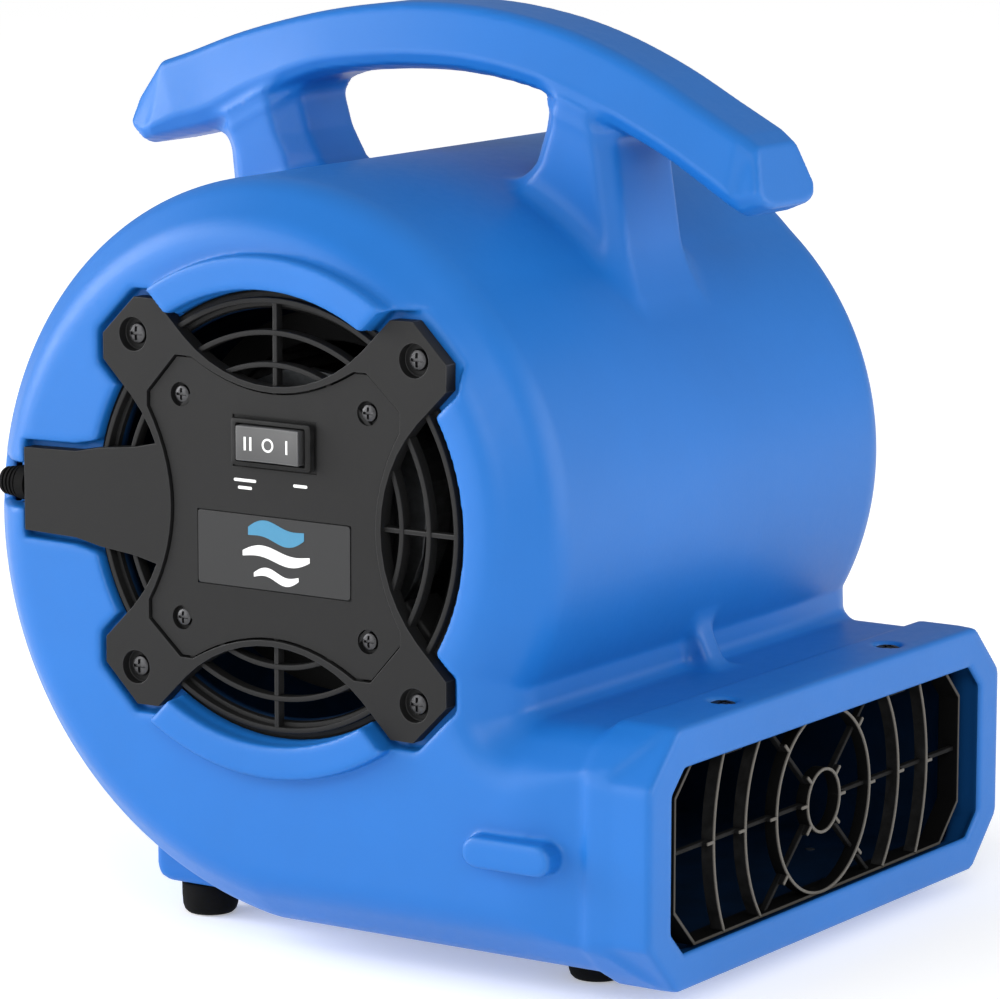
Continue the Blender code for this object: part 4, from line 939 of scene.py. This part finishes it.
def build_guard(side, name, node):
    """Four-armed guard with screw recesses and, on the switch side, a plate seat."""
    levels = seated(side, 0.0, 5.0)
    added = []
    cuts = [pin(5.0, *seated(side, -3.0, 3.2), SIDE, spot) for spot in corner_spots(GUARD_SCREW)]
    if side < 0.0:
        added.append(slab([cord_arm_outline()], *levels))
        cuts.append(slab([centre_plate_outline(0.6)], *seated(side, -5.0, 4.3)))
    parts = [
        carved(slab([guard_outline()], *levels), added, cuts, 0.45, 3),
        ring_of(2.0, 37.2, (side * (FACE - 4.9), side * 98.2), 0.6),
    ]
    parts += [ring_bar(radius, 1.6, seated(side, 1.6, 5.6)) for radius in GUARD_RING_RADII]
    # flat black ring at the pocket floor: a dark sheet standing in for the shade of the recess round the
    # rings
    parts.append(ring_bar(63.55, 5.3, seated(side, 4.4, 5.1)))
    for size in ((3.2, 1.5, 127.0), (3.2, 127.0, 1.5)):
        parts.append(carved(block((side * (FACE - 3.5), 0.0, 0.0), size), edge=0.35, segments=2))
    add_piece(name, parts, "black", (node,))


def build_far_cap():
    """Plain centre cap of the far guard."""
    cap = carved(slab([centre_plate_outline(-3.0)], FACE + 0.3, FACE + 1.8), edge=0.5)
    add_piece("far_guard_cap", cap, "black", ("far_centre_cap",))


# --- plate and switch
def build_switch_plate():
    """Centre plate with screw wells, label recess and switch window."""
    cuts = [pin(3.6, PLATE - 4.0, PLATE + 1.8, SIDE, spot) for spot in corner_spots(PLATE_SCREW)]
    for depth, y, z, size in (
        (4.4, 0.0, -11.05, (10.0, 55.1, 22.3)),
        (0.0, SWITCH_Y, SWITCH_Z, (12.0, 26.2, 12.6)),
        (2.4, SWITCH_Y, SWITCH_Z, (6.0, 30.0, 15.4)),
    ):
        cuts.append(block((PLATE - depth, y, z), size))
    plate = carved(slab([centre_plate_outline()], PLATE, PLATE + 3.0), (), cuts, 0.35, 3)
    add_piece("switch_plate_moulding", plate, "black", ("switch_plate",))


def streak(level, length, height):
    """A wavy streak of moving air, raised a little from the label."""
    rows = []
    for step in range(33):
        stop = step / 32.0
        y = -1.0 + length * (0.5 - stop)
        rise = level + 1.2 * math.sin(stop * math.tau)
        half = height / 2.0 * math.sqrt(max(0.02, math.sin(math.pi * (0.06 + 0.88 * stop))))
        section = ((0.15, -half), (0.15, half), (0.24, half), (0.24, -half))
        rows.append([(PLATE - lift, y, rise + offset) for lift, offset in section])
    return skinned(rows)


def build_label():
    """Plain film with three streaks of moving air as its only picture."""
    film = slab([rectangle((0.0, -11.05), 54.5, 21.7, 1.0)], PLATE - 0.15, PLATE + 0.45)
    film = carved(film, edge=0.12, segments=2)
    add_piece("label_film", film, "label", ("label_plate",))
    add_piece("label_streak_blue", streak(-4.9, 20.0, 5.4), "emblem")
    white = [streak(-11.6, 24.0, 3.6), streak(-17.7, 16.0, 2.8)]
    add_piece("label_streaks_white", white, "mark")


def on_rocker(points, lift):
    """Points (along, up) placed on the rocker's hollow face or a little off it."""
    return [(rocker_face(u) - lift, SWITCH_Y + u, SWITCH_Z + v) for u, v in points]


def rocker_face(along):
    """Level of the rocker's hollow face at a place along it."""
    return -109.9 - 0.75 * (along / ROCKER_HALF) ** 2


def build_bezel():
    """Frame of the switch, with a sunk inner edge."""
    rows = []
    for length, height, corner, level in (
        (28.6, 14.0, 1.1, -0.3), (28.6, 14.0, 1.1, -1.4), (28.2, 13.6, 1.0, -2.0),
        (27.4, 12.8, 0.9, -2.2), (24.9, 11.5, 0.6, -2.2), (24.3, 10.9, 0.5, -1.8),
        (24.2, 10.8, 0.4, 6.0),
    ):
        points = rectangle((SWITCH_Y, SWITCH_Z), length, height, corner)
        rows.append([(PLATE + level, u, v) for u, v in points])
    add_piece("switch_bezel", skinned(rows), "bezel", ("switch_body",), 38.0)


def build_rocker():
    """Rocker with a hollow face, its printed marks and the plate's speed dashes."""
    stops = [ROCKER_HALF * (1.0 - step / 8.0) for step in range(17)]
    outline = [(rocker_face(stop), SWITCH_Y + stop) for stop in stops]
    for level, share in ((-105.0, -0.96), (-102.2, -0.5), (-101.6, 0.0), (-102.2, 0.5), (-105.0, 0.96)):
        outline.append((level, SWITCH_Y + ROCKER_HALF * share))
    cap = carved(slab([outline], SWITCH_Z - 5.2, SWITCH_Z + 5.2, FLAT), edge=0.5, angle=50.0)
    add_piece("switch_rocker_cap", cap, "rocker", ("switch_rocker",), 20.0, ROCKER)

    marks = []
    for middle in (7.9, 6.0, -6.9):
        low, high = middle - 0.35, middle + 0.35
        corners = ((low, -2.0), (high, -2.0), (high, 2.0), (low, 2.0))
        marks.append(skinned([on_rocker(corners, 0.10), on_rocker(corners, -0.05)]))
    rows = []
    for step in range(40):
        outer, inner = (around((0.0, 0.0), radius, math.tau * step / 40) for radius in (2.05, 1.43))
        rows.append(on_rocker((outer, inner), 0.08) + on_rocker((inner, outer), -0.05))
    marks.append(skinned(rows, ends=False))
    add_piece("rocker_marks", marks, "mark", body=ROCKER)

    dashes = []
    for along, drop, length in ((10.6, 0.0, 8.0), (10.6, 2.2, 5.0), (-9.2, 0.0, 5.0)):
        outline = rectangle((SWITCH_Y + along, SWITCH_Z - 11.6 - drop), length, 0.9, 0.44)
        dashes.append(slab([outline], PLATE - 0.06, PLATE + 0.2))
    add_piece("speed_dashes", dashes, "mark")


def build_gland():
    """Ribbed cord gland at the end of the wiring channel."""
    profile = [(3.0, -93.0), (5.3, -93.0), (5.3, -96.3)]
    for step in range(4):
        start, outer = 96.6 + step * 1.55, 4.9 - step * 0.22
        for radius, along in ((outer - 0.7, 0.0), (outer - 0.7, 0.35), (outer, 0.5), (outer, 1.2)):
            profile.append((radius, -(start + along)))
    profile += [(3.9, -103.0), (3.0, -103.0)]
    gland = turned(profile, FRONT, (CORD_X, CORD_Z), 48)
    add_piece("cord_gland_moulding", gland, "rubber", ("cord_gland",), 38.0)


# --- screws
def screw_mesh(radius, head, tip, shank, plane, centre):
    """Domed cross-recess screw; head and tip are levels along its axis."""
    inward = 1.0 if tip > head else -1.0
    dome = ((0.0, 0.0), (0.45, 0.04), (0.75, 0.20), (0.93, 0.48), (1.0, 0.85), (1.0, 1.4))
    profile = [(radius * share, head + inward * depth) for share, depth in dome]
    profile += [(shank, head + inward * 1.4), (shank, tip), (0.0, tip)]
    arms = []
    for length, width in ((radius * 1.35, radius * 0.30), (radius * 0.30, radius * 1.35)):
        arms.append(slab([rectangle(centre, length, width)], head - 0.9, head + 0.9, plane))
    return carved(turned(profile, plane, centre, 40), (), arms, 0.0)


def build_screws():
    """Guard, plate, collar and foot screws."""
    rows = []
    for label, outer, inner in zip(CORNERS, corner_spots(GUARD_SCREW), corner_spots(PLATE_SCREW)):
        rows += [
            (f"guard_screw_switch_side_{label}", "steel", 3.1, 1.5 - FACE, -99.0, 1.6, SIDE, outer),
            (f"guard_screw_far_side_{label}", "steel", 3.1, FACE - 1.5, 99.0, 1.6, SIDE, outer),
            (f"plate_screw_{label}", "steel", 2.6, 1.2 - FACE, -98.5, 1.2, SIDE, inner),
        ]
    for label, spot in COLLAR_SCREWS.items():
        # collar screws take the darkened steel: painted shade of the wells they sit in
        rows.append((f"collar_screw_{label}", "dark_steel", 3.9, -50.95, -64.0, 1.5, FLAT, spot))
    for label, spot in FEET.items():
        rows.append((f"foot_screw_{label}", "zinc", 3.4, -131.2, -121.9, 1.5, FLAT, spot))
    for node, look, *shape in rows:
        add_piece(f"{node}_head", screw_mesh(*shape), look, (node,), 30.0)


# --- outlet grille
def arc_bar(radius, middle, swing):
    """A stretch of grille ring on both sides of an angle in degrees, edges broken."""
    steps = max(12, int(swing * 2.0 / 2.5))
    half, soft = 0.45, 0.198
    section = (
        (-half, GRILLE_FRONT + soft), (-half + soft, GRILLE_FRONT), (half - soft, GRILLE_FRONT),
        (half, GRILLE_FRONT + soft), (half, GRILLE_BACK), (-half, GRILLE_BACK),
    )
    rows = []
    for step in range(steps + 1):
        angle = math.radians(middle + swing * (2.0 * step / steps - 1.0))
        spots = [(*around((0.0, DUCT_Z), radius + offset, angle), level) for offset, level in section]
        rows.append([(x, level, z) for x, z, level in spots])
    return skinned(rows)


def grille_loop(grow):
    """Eight-sided outline of the grille's loop."""
    x, z, cut = 85.5 + grow, 28.5 + grow, 11.5 + grow * 0.4
    points = []
    for su, sv in ((1, -1), (1, 1), (-1, 1), (-1, -1)):
        pair = [(su * (x - cut), DUCT_Z + sv * z), (su * x, DUCT_Z + sv * (z - cut))]
        points += pair if su * sv < 0 else pair[::-1]
    return points


def spoke_bar(start, end, height, width, level, angle):
    """A straight bar along a spoke, from start to end off the rings' centre."""
    size = (end - start, height, width)
    soft = 0.3 if width > 1.0 else 0.25
    bar = carved(block(((start + end) / 2.0, 0.0, 0.0), size), edge=soft, segments=2)
    turn = Matrix.Rotation(-angle, 4, "Y")
    bar.transform(Matrix.Translation((0.0, GRILLE_FRONT + level, DUCT_Z)) @ turn)
    return bar


def build_outlet_grille():
    """Rings, spokes and eight-sided loop across the outlet."""
    ends = (-GRILLE_FRONT, -GRILLE_BACK)
    parts = [ring_bar(radius, 0.9, ends, FRONT, (0.0, DUCT_Z)) for radius in GRILLE_RADII[:2]]
    for radius in GRILLE_RADII[2:]:
        swing = math.degrees(math.asin(27.6 / radius))
        parts += [arc_bar(radius, middle, swing) for middle in (0.0, 180.0)]
    loop = slab([grille_loop(0.0), grille_loop(-1.1)], 117.3, 124.35, FRONT)
    parts.append(carved(loop, edge=0.3, segments=2))
    for x, y in COLLAR_SCREWS.values():
        parts.append(carved(block((x, y, -62.5), (10.0, 8.0, 6.0)), edge=0.6))
    add_piece("outlet_grille_rings", parts, "grille", ("outlet_grille",))
    spokes = []
    for degrees in (0.0, 42.0, 138.0, 180.0, 222.0, 318.0):
        angle = math.radians(degrees)
        rise = abs(math.sin(angle))
        reach = 85.0 if rise < 0.1 else 28.0 / rise
        spokes.append(spoke_bar(GRILLE_RADII[0], reach, 2.0, 1.3, 3.0, angle))
        for radius in GRILLE_RADII:
            if radius < reach - 4.0:
                spokes.append(spoke_bar(radius - 0.4, radius + 3.6, 2.6, 1.0, 1.35, angle))
    add_piece("outlet_grille_spokes", spokes, "grille")


# --- feet, wheel, motor
def build_feet():
    """Rubber feet with a screw recess."""
    profile = [
        (1.9, -125.3), (8.5, -125.3), (8.8, -125.7), (8.75, -129.5), (8.5, -132.5), (8.0, -134.0),
        (7.1, -134.9), (6.6, -135.0), (4.6, -135.0), (4.2, -134.6), (4.2, -129.5), (1.9, -129.5),
    ]
    for label, spot in FEET.items():
        foot = turned(profile, FLAT, spot, 64)
        add_piece(f"foot_{label}_rubber", foot, "rubber", (f"foot_{label}",), 38.0)


def build_wheel():
    """Double-inlet wheel with curved blades, rims and a hubbed centre disc."""
    disc = [
        (4.3, -12.0), (10.0, -12.0), (10.4, -11.6), (10.6, -2.2), (13.0, -1.2), (57.4, -1.2),
        (57.4, 1.2), (13.0, 1.2), (10.6, 2.2), (10.4, 9.6), (10.0, 10.0), (4.3, 10.0),
    ]
    parts = [turned(disc)]
    parts += [ring_of(47.9, 57.5, (side * 74.0, side * 71.0), 0.8) for side in (-1.0, 1.0)]
    count = sizes().blades
    for index in range(count):
        sides = ([], [])
        for share in (step / 6.0 for step in range(7)):
            radius = 48.4 + 8.7 * share
            angle = math.tau * index / count + math.radians(22.0) * share**1.6
            for side, turn in zip(sides, (-0.55 / radius, 0.55 / radius)):
                side.append(around((0.0, 0.0), radius, angle + turn))
        parts.append(slab([sides[0] + sides[1][::-1]], -73.0, 73.0))
    add_piece("fan_wheel_moulding", parts, "wheel", ("fan_wheel",), body=ROTOR)


def finish_motor():
    """Finishes and broken edges for the motor parts that stay as the frame has them."""
    looks = {
        "cast": ("motor_front_bell", "motor_rear_bell"),
        "motor": ("motor_stator", "motor_mount", "motor_rotor"),
        "zinc": ("motor_shaft", "bearing_front", "bearing_rear"),
        "black": ("run_capacitor",),
    }
    for look, nodes in looks.items():
        for part in (frame["nodes"][node] for node in nodes):
            for slot in part.material_slots:
                slot.link = "OBJECT"
                slot.material = finish(look)
            part.modifiers.new("weld", "WELD").merge_threshold = 1e-5
            bevelled(part, 0.0004, 2, 40.0)


# --- stage
def build_floor(scene):
    """Pale floor that glows a little more away from the machine."""
    work = bmesh.new()
    bmesh.ops.create_grid(work, x_segments=1, y_segments=1, size=30.0)
    mesh = bpy.data.meshes.new("floor")
    work.to_mesh(mesh)
    work.free()
    floor = bpy.data.objects.new("floor", mesh)
    floor.location.z = -0.0002
    scene.collection.objects.link(floor)
    material, tree, shader, place = start_finish("pale_floor", 0.1)
    pale = blended(tree, noise(tree, place, 3.0), (0.90, 0.90, 0.90), (0.92, 0.92, 0.92))
    dress(tree, shader, pale, 0.9, ())
    shader.inputs["Emission Color"].default_value = (1.0, 1.0, 1.0, 1.0)
    reach = tree.nodes.new("ShaderNodeVectorMath")
    reach.operation = "LENGTH"
    tree.links.new(place, reach.inputs[0])
    glow = ranged(tree, reach.outputs["Value"], 0.5, 1.8, 0.34, 0.66)
    tree.links.new(glow, shader.inputs["Emission Strength"])
    mesh.materials.append(material)


def build_lights(scene):
    """Even daylight from all round and five soft lamps aimed at the machine."""
    world = bpy.data.worlds.new("studio")
    world.use_nodes = True
    sky = world.node_tree.nodes["Background"].inputs
    sky["Color"].default_value = (1.0, 1.0, 1.0, 1.0)
    sky["Strength"].default_value = 0.34
    scene.world = world
    scene.view_settings.view_transform = "Standard"
    for name, place, width, height, power in (
        ("softbox_left", (-1.5, 0.75, 0.35), 1.4, 1.6, 17.5),
        ("softbox_right", (0.65, -1.6, 0.30), 1.4, 1.5, 21.0),
        ("softbox_front", (-1.25, -1.05, 0.75), 0.9, 0.9, 12.0),
        ("softbox_top", (-0.2, -0.3, 1.9), 1.8, 1.8, 3.0),
        ("softbox_rear", (-0.70, 1.7, 0.60), 0.9, 1.2, 30.0),
    ):
        light = bpy.data.lights.new(name, "AREA")
        light.shape = "RECTANGLE"
        light.size, light.size_y = width, height
        light.energy = power
        lamp = bpy.data.objects.new(name, light)
        lamp.location = FAN_AXIS + Vector(place)
        lamp.rotation_mode = "QUATERNION"
        lamp.rotation_quaternion = (FAN_AXIS - lamp.location).to_track_quat("-Z", "Y")
        scene.collection.objects.link(lamp)


def build_camera(scene):
    """Camera that looks at the outlet and the switch side from a little above."""
    data = bpy.data.cameras.new("camera")
    data.sensor_width, data.lens = 36.0, 182.365
    data.clip_start, data.clip_end = 0.05, 60.0
    camera = bpy.data.objects.new("camera", data)
    yaw, pitch, roll = (math.radians(angle) for angle in (-56.758, 9.722, 0.117))
    level = math.cos(pitch)
    ahead = Vector((-math.sin(yaw) * level, math.cos(yaw) * level, -math.sin(pitch)))
    right = ahead.cross(Vector((0.0, 0.0, 1.0))).normalized()
    up = right.cross(ahead)
    across = right * math.cos(roll) + up * math.sin(roll)
    upright = up * math.cos(roll) - right * math.sin(roll)
    turn = Matrix((across, upright, -ahead)).transposed().to_4x4()
    camera.matrix_world = Matrix.Translation(FAN_AXIS + Vector((-1.2849, -0.8511, 0.2541))) @ turn
    scene.collection.objects.link(camera)
    scene.camera = camera


# --- operators
class AIRMOVER_OT_stage(Operator):
    """Make the floor, the lights and the camera."""

    bl_idname = "airmover.stage"
    bl_label = "Stage"

    def execute(self, context):
        build_floor(context.scene)
        build_lights(context.scene)
        build_camera(context.scene)
        return {"FINISHED"}


class AIRMOVER_OT_housing(Operator):
    """Make the moulded housing with its handle."""

    bl_idname = "airmover.housing"
    bl_label = "Housing"

    def execute(self, context):
        build_housing()
        return {"FINISHED"}


class AIRMOVER_OT_guards(Operator):
    """Make both intake guards and the far centre cap."""

    bl_idname = "airmover.guards"
    bl_label = "Intake guards"

    def execute(self, context):
        build_guard(-1.0, "switch_side_guard", "intake_guard_switch_side")
        build_guard(1.0, "far_side_guard", "intake_guard_far_side")
        build_far_cap()
        return {"FINISHED"}


class AIRMOVER_OT_switch(Operator):
    """Make the switch plate, its label and the rocker switch."""

    bl_idname = "airmover.switch"
    bl_label = "Plate and switch"

    def execute(self, context):
        build_switch_plate()
        build_label()
        build_bezel()
        build_rocker()
        return {"FINISHED"}


class AIRMOVER_OT_screws(Operator):
    """Make all the screws."""

    bl_idname = "airmover.screws"
    bl_label = "Screws"

    def execute(self, context):
        build_screws()
        return {"FINISHED"}


class AIRMOVER_OT_grille(Operator):
    """Make the outlet grille."""

    bl_idname = "airmover.grille"
    bl_label = "Outlet grille"

    def execute(self, context):
        build_outlet_grille()
        return {"FINISHED"}


class AIRMOVER_OT_rubber(Operator):
    """Make the rubber feet and the cord gland."""

    bl_idname = "airmover.rubber"
    bl_label = "Feet and gland"

    def execute(self, context):
        build_feet()
        build_gland()
        return {"FINISHED"}


class AIRMOVER_OT_fan(Operator):
    """Make the fan wheel and finish the motor."""

    bl_idname = "airmover.fan"
    bl_label = "Fan and motor"

    def execute(self, context):
        build_wheel()
        finish_motor()
        return {"FINISHED"}


STEPS = (
    AIRMOVER_OT_stage,
    AIRMOVER_OT_housing,
    AIRMOVER_OT_guards,
    AIRMOVER_OT_switch,
    AIRMOVER_OT_screws,
    AIRMOVER_OT_grille,
    AIRMOVER_OT_rubber,
    AIRMOVER_OT_fan,
)


class AIRMOVER_PT_panel(Panel):
    """Lists the air mover's pieces and settings."""

    bl_idname = "AIRMOVER_PT_panel"
    bl_label = "Air mover"
    bl_space_type = "VIEW_3D"
    bl_region_type = "UI"
    bl_category = "Air mover"

    def draw(self, context):
        layout = self.layout
        for group in (context.scene.air_mover_sizes, context.scene.air_mover_colours):
            box = layout.box()
            for name in group.__annotations__:
                box.prop(group, name)
        for step in STEPS:
            layout.operator(step.bl_idname)


CLASSES = (AIRMOVER_Sizes, AIRMOVER_Colours) + STEPS + (AIRMOVER_PT_panel,)


def register():
    """Register the classes and the scene's settings."""
    for cls in CLASSES:
        bpy.utils.register_class(cls)
    bpy.types.Scene.air_mover_sizes = PointerProperty(type=AIRMOVER_Sizes)
    bpy.types.Scene.air_mover_colours = PointerProperty(type=AIRMOVER_Colours)


def unregister():
    """Take the settings and the classes away again."""
    del bpy.types.Scene.air_mover_colours
    del bpy.types.Scene.air_mover_sizes
    for cls in reversed(CLASSES):
        bpy.utils.unregister_class(cls)


def main():
    """Register the add-on and build every piece."""
    register()
    for step in STEPS:
        group, name = step.bl_idname.split(".")
        getattr(getattr(bpy.ops, group), name)()


if __name__ == "__main__":
    main()
